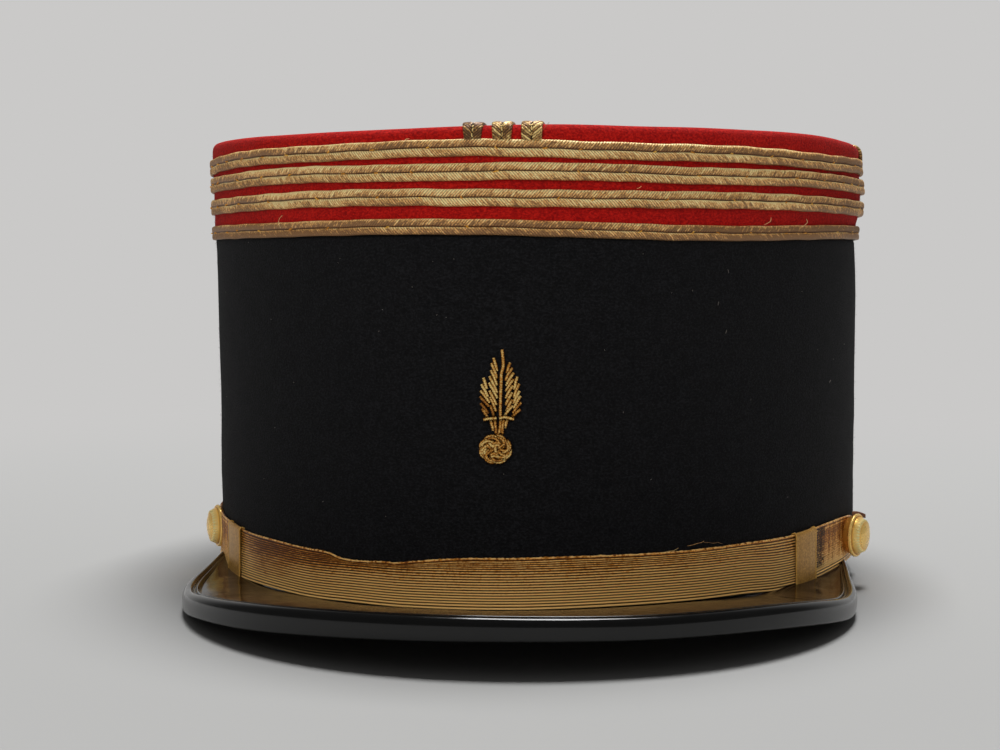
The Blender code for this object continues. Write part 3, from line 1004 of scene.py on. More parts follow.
@dataclass
class RingBraids(Dressing):
    """Four rings of flat double cord, each cord covered by slanted gilt threads.

    The real threads are about 0.45 mm wide, too fine to show, so they are drawn coarser.
    section is a cord's outline from its upper edge to its lower one: the height as a share of
    half its width, and how proud it is as a share of proud. The spreads shift the tone at random,
    from thread to thread and from point to point. The rest of the tone is painted light: lighter
    upwards, a painted highlight on the upper edge, and painted shade at the cap's left and right.
    """

    proud: float = 1.0 * MM
    left_proud: float = 0.72
    thread_pitch: float = 0.66 * MM
    thread_depth: float = 0.3
    slant: float = 0.9
    sag: float = 0.06 * MM
    unevenness: float = 0.05
    patch_spread: float = 0.14
    thread_spread: float = 0.12
    point_spread: float = 0.3
    upward_light: float = 0.35
    edge_light: float = 0.5
    side_shade: float = 1.2
    core_radius: float = 0.16 * MM
    core_proud: float = 0.5 * MM
    core_steps: int = 900
    stitch_radius: float = 0.15 * MM
    stitch_gaps: tuple[float, float] = (7, 19)
    section: Table = (
        (1.0, -0.1), (1.0, 0.45), (0.88, 0.86), (0.45, 1.02), (-0.35, 1.04), (-0.85, 0.9),
        (-1.0, 0.45), (-1.0, -0.1),
    )
    rings: tuple[Ring, ...] = (
        Ring(105.1 * MM, 3.7 * MM, (Wave(3, 0.20, 139), Wave(8, 0.16, 125)), 0.2, 0.5),
        Ring(100.3 * MM, 3.7 * MM, (Wave(3, 0.09, 180), Wave(8, 0.16, 30)), 0.5, 0.5),
        Ring(94.8 * MM, 3.7 * MM, (Wave(5, 0.19, 216), Wave(3, 0.08, 130)), 0.5, 0.5),
        Ring(88.2 * MM, 3.4 * MM, (Wave(3, 0.40, 167), Wave(5, 0.23, 110)), -0.02, -0.05),
    )

    def sway(self, ring: Ring, angle: Values) -> Values:
        """How far the ring strays from its level at each angle."""
        turns = angle - FRONT
        waves = [w.height * MM * np.sin(w.count * turns + math.radians(w.phase)) for w in ring.waves]
        return np.sum(waves, axis=0)

    def cord(self, heap: Heap, ring: Ring, side: int, seed: int) -> None:
        """Adds one cord of a ring.

        Args:
            heap: the mesh that it goes to.
            ring: the ring.
            side: 1 for the upper cord and -1 for the lower one.
            seed: start of its random numbers.
        """
        rng = np.random.default_rng(seed)
        threads = round(self.form.girth / self.thread_pitch)
        place, ridge = lay_threads(threads)
        place, ridge = place * self.form.girth / threads, ridge[:, None]
        half = ring.width / 4
        share, body = np.array(self.section).T
        offset = half * share
        along = place[:, None] + side * self.slant * offset[None]
        angle = self.form.angle_at(along)
        girth = self.form.girth
        sag = self.sag * ripple(along, girth, (23, 37, 61), round(ring.level / MM))
        level = ring.level + self.sway(ring, angle) + sag + side * half + offset[None]
        thick = self.proud * (1 + self.thread_depth * (ridge - 0.5))
        thick = thick * (1 + self.unevenness * ripple(along, girth, (31, 53, 97), seed + 1))
        thick = thick * (1 - (1 - self.left_proud) * np.clip(-np.cos(angle), 0, 1))
        grow = np.where(body > 0, body * thick, -0.1 * MM)
        tone = ring.upper_tone if side > 0 else ring.lower_tone
        # Painted shade on the rings at the cap's left and right.
        tone = tone + 0.1 - self.side_shade * np.clip(np.abs(np.cos(angle)) - 0.5, 0, 1)
        tone = tone + self.patch_spread * ripple(along, girth, (5, 9, 14, 22), seed + 2)
        tone = tone + np.repeat(rng.normal(0, self.thread_spread, threads), 3)[:, None]
        tone = tone + rng.normal(0, self.point_spread, (len(place), len(share)))
        # Painted light: each cord is lighter upwards, with a painted highlight along its upper edge.
        tone = tone + self.upward_light * share + self.edge_light * bell(share, 0.88, 0.2)
        # Painted shade along the lower edge of each cord, where the relief drops and the groove
        # colour is mixed in.
        under = ramp(share, -1.0, 0.5) if side > 0 else ramp(share, -1.3, 0.4)
        relief = (0.15 + 0.8 * ridge) * under[None]
        points = self.form.wall(angle, level, grow)
        heap.grid(points, relief, tone, wrap_rows=True, wrap_columns=True)

    def core(self, heap: Heap, ring: Ring, seed: int) -> None:
        """Adds the core thread that shows between the two cords of a ring, painted dark as the shade
        of the groove between them.
        """
        rng = np.random.default_rng(seed)
        turn = np.linspace(0, math.tau, self.core_steps)
        path = self.form.wall(turn, ring.level + self.sway(ring, turn), self.core_proud)
        # Its low relief and tone paint the shade of the groove.
        heap.tube(path, self.core_radius, 4, UP, rng.uniform(0.0, 0.45, len(turn)), -0.3)

    def stitches(self, ring: Ring, heap: Heap, seed: int) -> None:
        """Adds the small yellow stitches that show in the groove of a ring."""
        rng = np.random.default_rng(seed)
        along = 0.0
        while along < self.form.girth - 8 * MM:
            along += rng.uniform(*self.stitch_gaps) * MM
            angle = self.form.angle_at(along)
            level = ring.level + float(self.sway(ring, angle)) + rng.normal(0, 0.1) * MM
            reach, rise = rng.uniform(0.25, 0.6) * MM, rng.uniform(-0.35, 0.35) * MM
            knots = ((-1, -1, 0.7), (-0.4, -0.4, 1.02), (0.4, 0.4, 1.04), (1, 1, 0.7))
            a, b, grow = np.array(knots).T
            path = self.form.at(along + a * reach, level + b * rise, grow * MM)
            heap.tube(through(path, 7), self.stitch_radius, 5, UP, 1.0, rng.uniform(0.0, 0.9))

    def build(self) -> None:
        """Builds the four rings and their stitches."""
        for number, ring in enumerate(self.rings, 1):
            braid, sewn = Heap(), Heap()
            self.cord(braid, ring, 1, 10 * number)
            self.cord(braid, ring, -1, 10 * number + 5)
            self.core(braid, ring, 10 * number)
            self.stitches(ring, sewn, 70 + number)
            node = f"ring_braid_{number}"
            self.wardrobe.dress(braid, f"{node}_threads", Finish.GOLD_BRAID, "gold_braid", node)
            self.wardrobe.dress(sewn, f"ring_stitches_{number}", Finish.STITCH, "gold_braid")


class EdgeGroup(NamedTuple):
    """Three short braids over the shoulder: their side, angle, place off centre, tapers and tones.

    A taper is the width at a braid's foot as a share of its width on the shoulder.
    """

    side: str
    angle: float
    offset: float
    tapers: tuple[float, float, float]
    tones: tuple[float, float, float]


@dataclass
class EdgeBraids(Dressing):
    """The short upright braids that run from the top ring over the shoulder.

    Their real threads are too fine to show as well, so they are drawn coarser. line is a braid's
    run up the shoulder: how far outside the wall it lies and its height, in millimetres.
    """

    width: float = 4.6 * MM
    pitch: float = 6.3 * MM
    proud: float = 0.7 * MM
    length: float = 12.4 * MM
    thread_pitch: float = 0.72 * MM
    thread_depth: float = 0.35
    thread_spread: float = 0.25
    point_spread: float = 0.2
    climb: float = 0.85
    across: int = 12
    centre_radius: float = 0.16 * MM
    groups: tuple[EdgeGroup, ...] = (
        EdgeGroup("front", -90.0, 1.1 * MM, (0.74, 0.84, 0.95), (-0.05, 0.3, 0.3)),
        EdgeGroup("right", 0.0, 0.0, (0.9, 0.85, 0.95), (0.5, 0.4, 0.5)),
        EdgeGroup("back", 90.0, 0.0, (0.95, 0.9, 0.85), (0.4, 0.3, 0.5)),
        EdgeGroup("left", 180.0, 0.0, (0.85, 0.95, 0.9), (0.5, 0.3, 0.4)),
    )
    line: Table = (
        (0.2, 106.9), (0.2, 107.7), (0.1, 108.8), (-0.25, 109.6), (-1.0, 110.2), (-2.4, 110.4),
        (-4.4, 110.48), (-6.9, 110.4),
    )

    def foot(self, group: EdgeGroup, shift: float) -> tuple[Points, Points, Points]:
        """Where a braid starts.

        Args:
            group: the group that it belongs to.
            shift: its place sideways from the middle of that side.

        Returns:
            The point below it on the wall, the direction out of the wall and the one along it.
        """
        angle = math.radians(group.angle)
        out, side_on = level_axes(self.form.facing(angle))
        lengthwise = abs(math.cos(angle)) < 0.5
        half, other = self.form.half_length, self.form.half_width
        if not lengthwise:
            half, other = other, half
        sagitta = half * (1 - math.sqrt(1 - (shift / other) ** 2))
        start = self.form.wall(np.array(angle), self.line[0][1] * MM)
        at = angle + shift / half if lengthwise else angle + shift / other
        start[2] = float(self.form.rise(np.array(at), np.array(self.form.crest_to)))
        return start + side_on * shift - out * sagitta, out, side_on

    def braid(self, node: str, group: EdgeGroup, number: int) -> None:
        """Builds one short braid.

        Args:
            node: the name of the solid that it replaces.
            group: the group that it belongs to.
            number: its place in the group, from 1 to 3.
        """
        name = f"{node}_threads"
        start, out, side_on = self.foot(group, group.offset + (number - 2) * self.pitch)
        threads = round(self.length / self.thread_pitch)
        line = through(np.array(self.line) * MM, 80)
        normal = right_of(line)
        run, ridge = lay_threads(threads)
        run, ridge = run / threads, ridge[:, None]
        taper = group.tapers[number - 1]
        taper = taper + (1 - taper) * np.clip(run * 2.5, 0, 1)[:, None]
        rng = np.random.default_rng(hash_name(name))
        heap = Heap()
        quarter = self.width / 4
        turn = np.linspace(-0.06 * math.pi, 1.06 * math.pi, self.across)
        share = np.cos(turn)
        body = np.sign(np.sin(turn)) * np.abs(np.sin(turn)) ** 0.28
        thick = self.proud * (1 + self.thread_depth * (ridge - 0.5))
        lift = np.where(body > 0, body * thick, -0.1 * MM)
        for hand in (-1, 1):
            # The threads climb away from the groove, so each pair of them makes a V.
            climb = self.climb * quarter * (hand * share[None] - 1) / self.length
            inside = np.clip(run[:, None] + climb, 0, 1)
            places = np.linspace(0, 1, len(line))
            mid = [np.interp(inside, places, column) for column in line.T]
            tilt = [np.interp(inside, places, column) for column in normal.T]
            reach = quarter * (hand + share)[None] * taper * np.ones_like(inside)
            points = (
                start
                + out * (mid[0] + tilt[0] * lift)[..., None]
                + side_on * reach[..., None]
                + UP * (mid[1] + tilt[1] * lift)[..., None]
            )
            tone = rng.normal(0, self.thread_spread, threads)
            tone = group.tones[number - 1] + np.repeat(tone, 3)[:, None]
            tone = tone + rng.normal(0, self.point_spread, (len(run), self.across))
            # Painted shade darkens each half of the braid next to the groove between them.
            heap.rod(points, ridge * ramp(hand * share, -1.0, 0.35)[None], tone, flip=True)
        self.centre_thread(heap, start, out, side_on, rng)
        self.wardrobe.dress(heap, name, Finish.EDGE_BRAID, "gold_braid", node)

    def centre_thread(
        self, heap: Heap, start: Points, out: Points, side_on: Points, rng: np.random.Generator
    ) -> None:
        """Adds the bright sewing thread that lies in a short braid's groove."""
        line = through(np.array(self.line) * MM, 25)
        for first in range(2, 22, 3):
            part = line[first : first + 3]
            wander = rng.normal(0, 0.1 * MM, (3, 1))
            path = start + out * (part[:, :1] + 0.65 * MM) + side_on * wander
            path = path + UP * (part[:, 1:] + 0.1 * MM)
            tone = rng.uniform(0.6, 1.3)
            heap.tube(through(path, 6), self.centre_radius, 5, side_on, 1.0, tone)

    def build(self) -> None:
        """Builds the four groups of three."""
        for group in self.groups:
            for number in (1, 2, 3):
                self.braid(f"edge_braid_{group.side}_{number}", group, number)


def hash_name(name: str) -> int:
    """A number that depends only on the letters of a name."""
    return sum((i + 1) * ord(letter) for i, letter in enumerate(name))


# ---- Badge ----


class Strand(NamedTuple):
    """A bullion strand of the flame, from its tip to its foot, and its shade.

    Places are in millimetres right of the knot's middle and above it.
    """

    tip_x: float
    tip_z: float
    foot_x: float
    foot_z: float
    tone: float = 0.55


@dataclass
class GrenadeBadge(Dressing):
    """The embroidered grenade: feathered flame, crossbar, stems and a woven round knot.

    The tables and middle_x are in millimetres right of the knot's middle and above it, and
    knot_width and knot_height are half of its size in millimetres. padding gives the sizes of
    the dark rings of painted shade under the knot, which show in the gaps between its strands,
    as shares of its own.
    """

    knot_along: float = -0.15 * MM
    knot_level: float = 41.1 * MM
    radius: float = 0.45 * MM
    coil: float = 0.5 * MM
    coil_depth: float = 0.16
    # How strong the painted light on each strand is: painted shade on its sides, a painted highlight
    # on its face.
    flank_shading: float = 1.0
    knot_width: float = 3.55
    knot_height: float = 3.2
    middle_x: float = 1.2
    bow: float = 0.06
    tone_spread: float = 0.2
    rope_turns: int = 8
    shade_rings: tuple[float, ...] = (0.15, 0.4, 0.62)
    feathers: tuple[Strand, ...] = (
        # Left of the middle, the inner row from the top down.
        Strand(-0.40, 19.4, 0.25, 17.0), Strand(-0.80, 18.3, 0.25, 15.3),
        Strand(-0.90, 16.8, 0.25, 13.8), Strand(-1.23, 15.5, 0.30, 12.2),
        Strand(-1.34, 14.1, 0.30, 11.1), Strand(-1.23, 12.4, 0.15, 9.6),
        Strand(-1.10, 11.1, 0.05, 8.2), Strand(-1.00, 9.2, -0.42, 7.2, 0.2),
        # Left, the outer row.
        Strand(-2.53, 15.1, -1.95, 13.0), Strand(-2.91, 13.7, -1.67, 11.3),
        Strand(-3.10, 12.4, -1.38, 10.1), Strand(-3.20, 11.1, -1.57, 9.3, 0.2),
        Strand(-3.10, 9.7, -1.67, 7.8, 0.1), Strand(-2.72, 8.4, -1.86, 7.1, 0.1),
        # Right of the middle, the inner row.
        Strand(3.02, 18.4, 2.45, 16.5, 0.2), Strand(3.44, 17.3, 2.16, 14.9),
        Strand(3.75, 16.3, 2.35, 13.8), Strand(3.69, 14.9, 2.25, 12.6),
        Strand(3.59, 13.6, 2.25, 11.1), Strand(3.44, 12.0, 2.25, 9.6),
        Strand(3.44, 10.5, 2.45, 8.4), Strand(3.50, 9.2, 2.05, 7.3),
        # Right, the outer row.
        Strand(4.55, 15.4, 4.07, 13.0), Strand(4.93, 13.9, 3.97, 11.3),
        Strand(5.03, 12.4, 3.88, 9.9), Strand(5.22, 11.3, 3.97, 8.9),
        Strand(5.31, 9.9, 3.78, 7.9, 0.3), Strand(5.12, 8.4, 3.78, 7.2, 0.2),
        # The stems between the crossbar and the knot.
        Strand(-1.00, 6.0, -0.52, 4.2), Strand(-0.15, 6.1, 0.12, 3.4, 0.2),
        Strand(1.10, 6.2, 0.70, 3.3), Strand(1.75, 6.1, 1.48, 3.4, 0.2),
        Strand(2.42, 6.1, 2.14, 4.8),
    )
    spine: Table = (
        (1.39, 21.4), (1.66, 18.8), (1.58, 17.4), (1.28, 16.3), (1.2, 13.8), (1.1, 11.1),
        (1.05, 7.0),
    )
    crossbar: tuple[Table, ...] = (
        ((-2.45, 6.35), (-1.2, 6.6), (0.3, 6.7)), ((0.9, 6.65), (2.0, 6.95), (3.95, 6.5)),
    )
    weave: tuple[Table, ...] = (
        ((-0.6, 1.1), (0.2, 1.45), (1.25, 1.15)), ((-0.5, 0.65), (0.35, 0.95), (1.1, 0.75)),
        ((0.75, 0.35), (1.3, 0.75), (2.1, 1.35)), ((-1.3, 1.4), (-0.75, 0.75), (-0.2, 0.35)),
        ((-1.75, 1.05), (-1.3, 0.5), (-0.9, 0.1)), ((0.1, 0.95), (0.05, 0.0), (0.4, -0.85)),
        ((-1.9, -1.3), (-1.1, -0.5), (-0.3, -0.1)), ((-2.0, 0.3), (-2.3, -0.5), (-1.8, -1.2)),
        ((0.8, -0.5), (1.3, -1.0), (2.0, -1.3)), ((-1.0, -1.2), (-0.2, -0.9), (0.6, -1.3)),
        ((-0.9, -1.75), (-0.1, -1.45), (0.8, -1.8)), ((1.1, 0.1), (1.6, -0.2), (2.2, -0.35)),
    )

    def place(self, flat: Points, lift: Values | float) -> Points:
        """Points in front of the wall, from millimetres in the badge's own plan."""
        along = self.knot_along + flat[:, 0] * MM
        return self.form.at(along, self.knot_level + flat[:, 1] * MM, lift)

    def strand(self, heap: Heap, flat: Points, lift: Values | float, tone: float) -> None:
        """Adds one coiled strand along points of the badge's plan."""
        wire = {"coil": self.coil, "coil_depth": self.coil_depth, "flank_shading": self.flank_shading}
        heap.tube(self.place(flat, lift), self.radius, 10, FORWARD, 1.0, tone, **wire)

    def flame(self, heap: Heap) -> None:
        """Adds the flame, with its long middle strand, the crossbar and the stems."""
        rng = np.random.default_rng(5)
        for k, row in enumerate(self.feathers):
            tip, foot = np.array([row.tip_x, row.tip_z]), np.array([row.foot_x, row.foot_z])
            run = foot - tip
            t = np.linspace(0, 1, max(12, round(float(np.linalg.norm(run)) * 10)))
            bow = self.bow * np.sin(math.pi * t) * math.copysign(1, row.tip_x - self.middle_x)
            flat = tip + run * t[:, None] + np.array([run[1], -run[0]]) * bow[:, None] / 2
            high = (0.38 if k % 2 else 0.3) * MM
            lift = high * (1 - 0.9 * t**5) * (1 - 0.7 * (1 - t) ** 8)
            self.strand(heap, flat, lift, row.tone + rng.normal(0, 0.15))
        self.strand(heap, through(self.spine, 130), 0.5 * MM, 0.35)
        for bar in self.crossbar:
            self.strand(heap, through(bar, 32), 0.85 * MM, 0.55)

    def knot(self, heap: Heap) -> None:
        """Adds the knot: a wreath of paired strands laid like a rope, round a small weave."""
        rng = np.random.default_rng(9)
        size = np.array([self.knot_width, self.knot_height])
        t = np.linspace(0, 1, 30)
        for k in range(self.rope_turns):
            for pair in (0, 1):
                turn = math.tau * k / self.rope_turns + 0.2 + t * 1.2 + 0.09 * pair
                reach = 0.4 + 0.42 * np.sin(math.pi * (0.02 + 0.56 * t))
                reach = reach + 0.17 * pair * (1 - 0.4 * t)
                flat = size * reach[:, None] * np.stack([np.cos(turn), np.sin(turn)], axis=-1)
                lift = (0.2 + 0.75 * np.sin(math.pi * (0.15 + 0.75 * t)) - 0.2 * pair) * MM
                lift = lift - 0.25 * MM * np.clip(reach - 0.75, 0, 1)
                self.strand(heap, flat, lift, 0.35 + rng.normal(0, self.tone_spread))
        t = np.linspace(-1, 1, 22)
        for k, row in enumerate(self.weave):
            lift = (0.75 + 0.12 * (k % 3)) * MM - 0.4 * MM * t**4
            self.strand(heap, through(row, 22), lift, 0.35 + rng.normal(0, self.tone_spread))
        turn = np.linspace(0, math.tau, 40, endpoint=False)
        ring = np.stack([np.cos(turn), np.sin(turn)], axis=-1) * size
        # Dark rings of painted shade, which show in the gaps between the knot's strands.
        for share in self.shade_rings:
            path = self.place(ring * share, 0.25 * MM)
            heap.tube(path, self.radius, 8, FORWARD, 0.0, 0.0, closed=True)

    def build(self) -> None:
        """Builds the badge as one piece."""
        heap = Heap()
        self.flame(heap)
        self.knot(heap)
        node = "grenade_badge"
        self.wardrobe.dress(heap, "grenade_embroidery", Finish.BULLION, "gold_bullion", node)


# ---- Chin strap, slides and buttons ----


@dataclass
class ChinStrap(Dressing):
    """The ribbed gold strap along the foot of the band, with its slides and leather ends.

    Its ribs are woven from threads that are too fine to show, so they are drawn smooth, and the
    weave that runs across its two ends is drawn coarser. low_edge is the height of its lower
    edge, and drop is what its upper edge has lost to wear, both in millimetres against distances
    along the strap. rib_shape is a rib from its foot to its top: the height as a share of its
    own and how far it bulges, with rib_lighting as the painted light at each of these places:
    painted shade at the rib's foot and a painted highlight near its top.
    """

    left_end: float = math.radians(-168)
    right_end: float = math.radians(-5)
    width: float = 12.0 * MM
    ribs: int = 20
    seat: float = 0.3 * MM
    base: float = 0.5 * MM
    rib_depth: float = 0.42 * MM
    along_step: float = 0.72 * MM
    fine_step: float = 0.2 * MM
    woven_from: float = 89.0 * MM
    woven_pitch: float = 0.62 * MM
    woven_depth: float = 0.16 * MM
    woven_share: float = 0.75
    edge_radius: float = 0.23 * MM
    edge_fray: float = 0.05 * MM
    unevenness: float = 0.04 * MM
    slide_overlap: float = 0.3 * MM
    slide_rim: float = 0.17 * MM
    tip_thickness: float = 0.9 * MM
    low_ribs: tuple[float, float] = (0.74 * MM, 0.66 * MM)
    rib_shape: Table = ((0.04, 0.0), (0.3, 0.6), (0.58, 1.0), (0.84, 0.5))
    rib_lighting: tuple[float, ...] = (-0.5, -0.2, 1.1, 0.5)
    low_edge: Table = (
        (-165, 4.0), (-120, 3.4), (-95, 3.3), (-82, 3.7), (-62, 4.2), (-50, 4.35), (-33, 5.05),
        (-22, 5.3), (-14, 5.6), (2, 6.0), (25, 6.35), (48, 6.1), (62, 5.8), (72, 5.15), (80, 5.0),
        (90, 5.5), (100, 6.0), (113, 6.4), (122, 6.6), (165, 6.2),
    )
    drop: Table = (
        (-165, -0.6), (-112, -1.2), (-92, -0.8), (-80, 0.0), (-62, 0.4), (-50, 0.7), (-44, 0.9),
        (-42, 1.1), (-40, 1.7), (-37.2, 2.2), (-32, 2.3), (-27, 2.05), (-21.5, 1.95), (-19.8, 1.7),
        (-16, 1.35), (-8, 0.7), (4, 0.6), (14, 0.5), (32, 0.7), (60, 0.3), (75, -0.35), (90, -0.4),
        (104, 0.0), (112, 0.5), (118, 1.3), (124, 2.9), (165, 3.2),
    )

    def low(self, along: Values) -> Values:
        """Height of the strap's lower edge."""
        return smooth_line(self.low_edge, np.asarray(along) / MM) * MM

    def high(self, along: Values) -> Values:
        """Height of the strap's upper edge, where it is frayed and turned down in places."""
        return self.low(along) + self.width - smooth_line(self.drop, np.asarray(along) / MM) * MM

    def profile(self) -> tuple[Values, Values, Values]:
        """The strap across its face.

        Returns:
            Heights above its lower edge, how proud each is, and the relief of each.
        """
        even = self.ribs - len(self.low_ribs)
        sizes = [*self.low_ribs, *[(self.width - sum(self.low_ribs)) / even] * even]
        heights, proud, relief = [0.0], [self.seat], [0.0]
        start = 0.0
        for size in sizes:
            for t, bulge in self.rib_shape:
                heights.append(start + t * size)
                proud.append(self.base + self.rib_depth * bulge * size / sizes[-1])
                relief.append(bulge if t > 0.4 else 0.5 * bulge)
            start += size
        heights, proud, relief = heights + [self.width], proud + [self.seat], relief + [0.2]
        return np.array(heights), np.array(proud), np.array(relief)

    def stations(self) -> Values:
        """Distances along the strap, closer together where its weave runs across it."""
        first, last = self.form.along_at(np.array([self.left_end, self.right_end]))
        left = np.arange(first, -self.woven_from, self.fine_step)
        middle = np.arange(-self.woven_from, self.woven_from, self.along_step)
        right = np.arange(self.woven_from, last, self.fine_step)
        return np.concatenate([left, middle, right])

    def tones(self, along: Values, share: Values) -> Values:
        """Tone of the strap's face: painted shade under the frayed, turned-down edge, painted
        highlights on its lower ribs, and darker where it is tarnished.

        Args:
            along: distances along the strap.
            share: height on the strap, from 0 at its lower edge to 1 at its upper edge.

        Returns:
            A tone for each place.
        """
        s, up = along[:, None] / MM, share[None]
        # Painted shade where its upper edge is turned down left of the badge, painted highlights to
        # the right of that and low down on the other side of the front, and darker again farther
        # left.
        tone = 0.5 + 0.1 * ripple(along, 0.5, (12, 23, 40, 71), 5)[:, None]
        tone = tone - 0.6 * bell(s, -42, 20) * ramp(up, 0.45, 0.3)
        tone = tone + 0.45 * bell(s, -28, 10) * bell(up, 0.35, 0.3)
        tone = tone + 0.3 * bell(s, 24, 16) * bell(up, 0.2, 0.2)
        tone = tone - 0.3 * bell(s, -68, 12)
        # Light along its foot, darker going up, and light again on its upper rib.
        tone = tone + 0.75 * ramp(up, 0.3, -0.15) - 0.3 * ramp(up, 0.5, 0.3)
        tone = tone + 0.8 * (0.47 - up) + 0.5 * ramp(up, 0.16, -0.1)
        tone = tone + 0.9 * bell(up, 0.925, 0.02)
        # Browner all round the left and brighter all round the right.
        return tone - 0.25 * bell(s, -64, 24) + 0.3 * bell(s, 66, 24) + 0.1 * bell(s, 104, 7)

    def tarnish(self, along: Values, share: Values) -> Values:
        """How black each place is where the gilt has gone, right of the right slide; see tones."""
        s, up = along[:, None] / MM, share[None]
        frayed = 96.6 + 0.9 * np.sin(31 * up) * np.sin(9 * up + 1)
        black = ramp(s, 88.8, 0.8) * ramp(s, frayed, -2.4)
        mottled = 0.62 + 0.3 * np.random.default_rng(17).normal(size=(len(along), len(share)))
        return np.clip(black * mottled, 0, 1) * ramp(up, 0.16, 0.05)

    def face(self) -> None:
        """The strap itself."""
        along = self.stations()
        heights, proud, rib_relief = self.profile()
        share = heights / self.width
        squeeze = smooth_step(ramp(share, 0.72, 0.28))
        lost = self.low(along) + self.width - self.high(along)
        level = self.low(along)[:, None] + heights[None] - squeeze[None] * lost[:, None]
        rng = np.random.default_rng(21)
        level[:, -1] += rng.normal(0, self.edge_fray, len(along))
        woven = ramp(np.abs(along), self.woven_from, 3 * MM)[:, None] * (share > 0.13)[None]
        across = half_wave(math.tau * along / self.woven_pitch)[:, None]
        flatter = 1 - self.woven_share * woven
        mixed = (proud[None] - self.base) * flatter + woven * self.woven_depth * across
        grow = np.where(proud[None] > self.seat, self.base + mixed, proud[None])
        grow = grow + self.unevenness * ripple(along[:, None] + heights[None], 0.5, (9, 17, 29), 3)
        relief = rib_relief[None] * flatter + woven * (0.35 + 0.45 * across)
        relief = relief * (1 - self.tarnish(along, share))
        front = self.form.at(along[:, None], level, grow)
        back = self.form.at(along[:, None], level[:, ::-12], self.seat * 0.6)
        # Painted light on each rib: painted shade at its foot and a painted highlight near its top,
        # weaker on the upper ribs.
        rib_shading = np.concatenate([[0.0], np.tile(self.rib_lighting, self.ribs), [0.0]])
        rib_shading = rib_shading * (0.4 + 0.6 * (share < 0.9))
        tone = self.tones(along, share) + rng.normal(0, 0.05, (1, len(share)))
        tone = tone + rib_shading[None] * (1 - 0.8 * woven)
        streaks = rng.normal(0, 0.3, (len(along), 1)) * woven
        tone = tone + rng.normal(0, 0.22, tone.shape) + streaks
        spare = np.zeros((len(along), back.shape[1]))
        heap = Heap()
        points = np.concatenate([front, back], axis=1)
        relief = np.concatenate([relief, spare], axis=1)
        heap.rod(points, relief, np.concatenate([tone, spare + 0.3], axis=1))
        self.rolled_edge(heap, along)
        self.wardrobe.dress(heap, "chin_strap_braid", Finish.STRAP, "gold_strap", "chin_strap")

    def rolled_edge(self, heap: Heap, along: Values) -> None:
        """Adds the worn upper edge, a thin bright twist with gaps in its shine."""
        along = np.arange(along[0], along[-1], 0.45 * MM)
        rng = np.random.default_rng(8)
        level = self.high(along) - 0.08 * MM + rng.normal(0, 0.035 * MM, len(along))
        path = self.form.at(along, level, self.base + 0.12 * MM)
        tone = np.repeat(0.9 + rng.normal(0, 0.5, (len(along), 1)), 6, axis=1)
        size = self.edge_radius * (1 + rng.normal(0, 0.12, len(along)))
        heap.tube(path, size, 6, UP, 0.8, tone)

    def slide(self, name: str, start: float, end: float, slant: float) -> None:
        """Builds one flat ribbon loop round the strap.

        Args:
            name: the name of the solid that it replaces.
            start: distance along the strap of its left edge, at its middle height.
            end: distance of its right edge.
            slant: how much further right its upper end is than its lower end.
        """
        along = np.linspace(start, end, 26)
        low, high = self.low(along) - self.slide_overlap, self.high(along) + 0.12 * MM
        middle, half = (low + high) / 2, (high - low) / 2
        half_loop = [(0.2, -1.0), (0.9, -1.05), (1.3, -1.02), (1.5, -0.92), (1.47, -0.5)]
        mirrored = [(proud, -height) for proud, height in reversed(half_loop)]
        line = through([*half_loop, (1.45, 0.0), *mirrored], 60)
        across = np.linspace(-1, 1, len(along))
        bulge = 0.08 * MM * (1 - across**2) - 0.1 * MM * np.exp(-(1 - np.abs(across)) * 9)

        def sheet(share: Values, proud: Values) -> Points:
            """Rows of points of the loop, at heights from -1 to 1."""
            at = along[:, None] + slant / 2 * share[None]
            level = middle[:, None] + half[:, None] * share[None]
            return self.form.at(at, level, proud[None] * MM + bulge[:, None])

        outer = sheet(line[:, 1], line[:, 0])
        inner = sheet(line[::-2, 1] * 0.965, np.maximum(line[::-2, 0] - 0.35, 0.12))
        rng = np.random.default_rng(hash_name(name))
        points = np.concatenate([outer, inner], axis=1)
        tone = 0.5 + 0.08 * rng.normal(size=(len(along), 1)) + np.zeros(points.shape[:2])
        heap = Heap()
        heap.grid(points, 1.0, tone, wrap_columns=True)
        for edge in (0, -1):
            at = along[edge] + slant / 2 * line[:, 1]
            level = middle[edge] + half[edge] * line[:, 1]
            rim = self.form.at(at, level, line[:, 0] * MM - 0.1 * MM)
            heap.tube(rim, self.slide_rim, 6, np.array([1.0, 0, 0]), 1.0, 0.9)
        self.wardrobe.dress(heap, f"{name}_ribbon", Finish.SLIDE, "gold_strap", name)

    def tip(self, name: str, angle: float, level: float, reach: float, height: float) -> None:
        """Builds the worn leather end of the strap, which stands out above a button.

        Args:
            name: the piece's name.
            angle: where it is, in degrees.
            level: height of its middle.
            reach: how far it stands out from the wall.
            height: how tall it is.
        """
        start, half_thick = self.form.along_at(math.radians(angle)), self.tip_thickness / 2
        side, up = np.array([(-1, -1), (1, -1), (1, 1), (-1, 1)]).T
        share = np.linspace(0, 1, 9)[:, None]
        along = start + side * half_thick + 1.6 * MM * share
        rise = level - 0.7 * MM * share**2 + up * (height / 2 * (1 - 0.35 * share**3))
        heap = Heap()
        heap.rod(self.form.at(along, rise, reach * share + 0.4 * MM))
        self.wardrobe.dress(heap, name, Finish.BARE_LEATHER, "gold_strap")

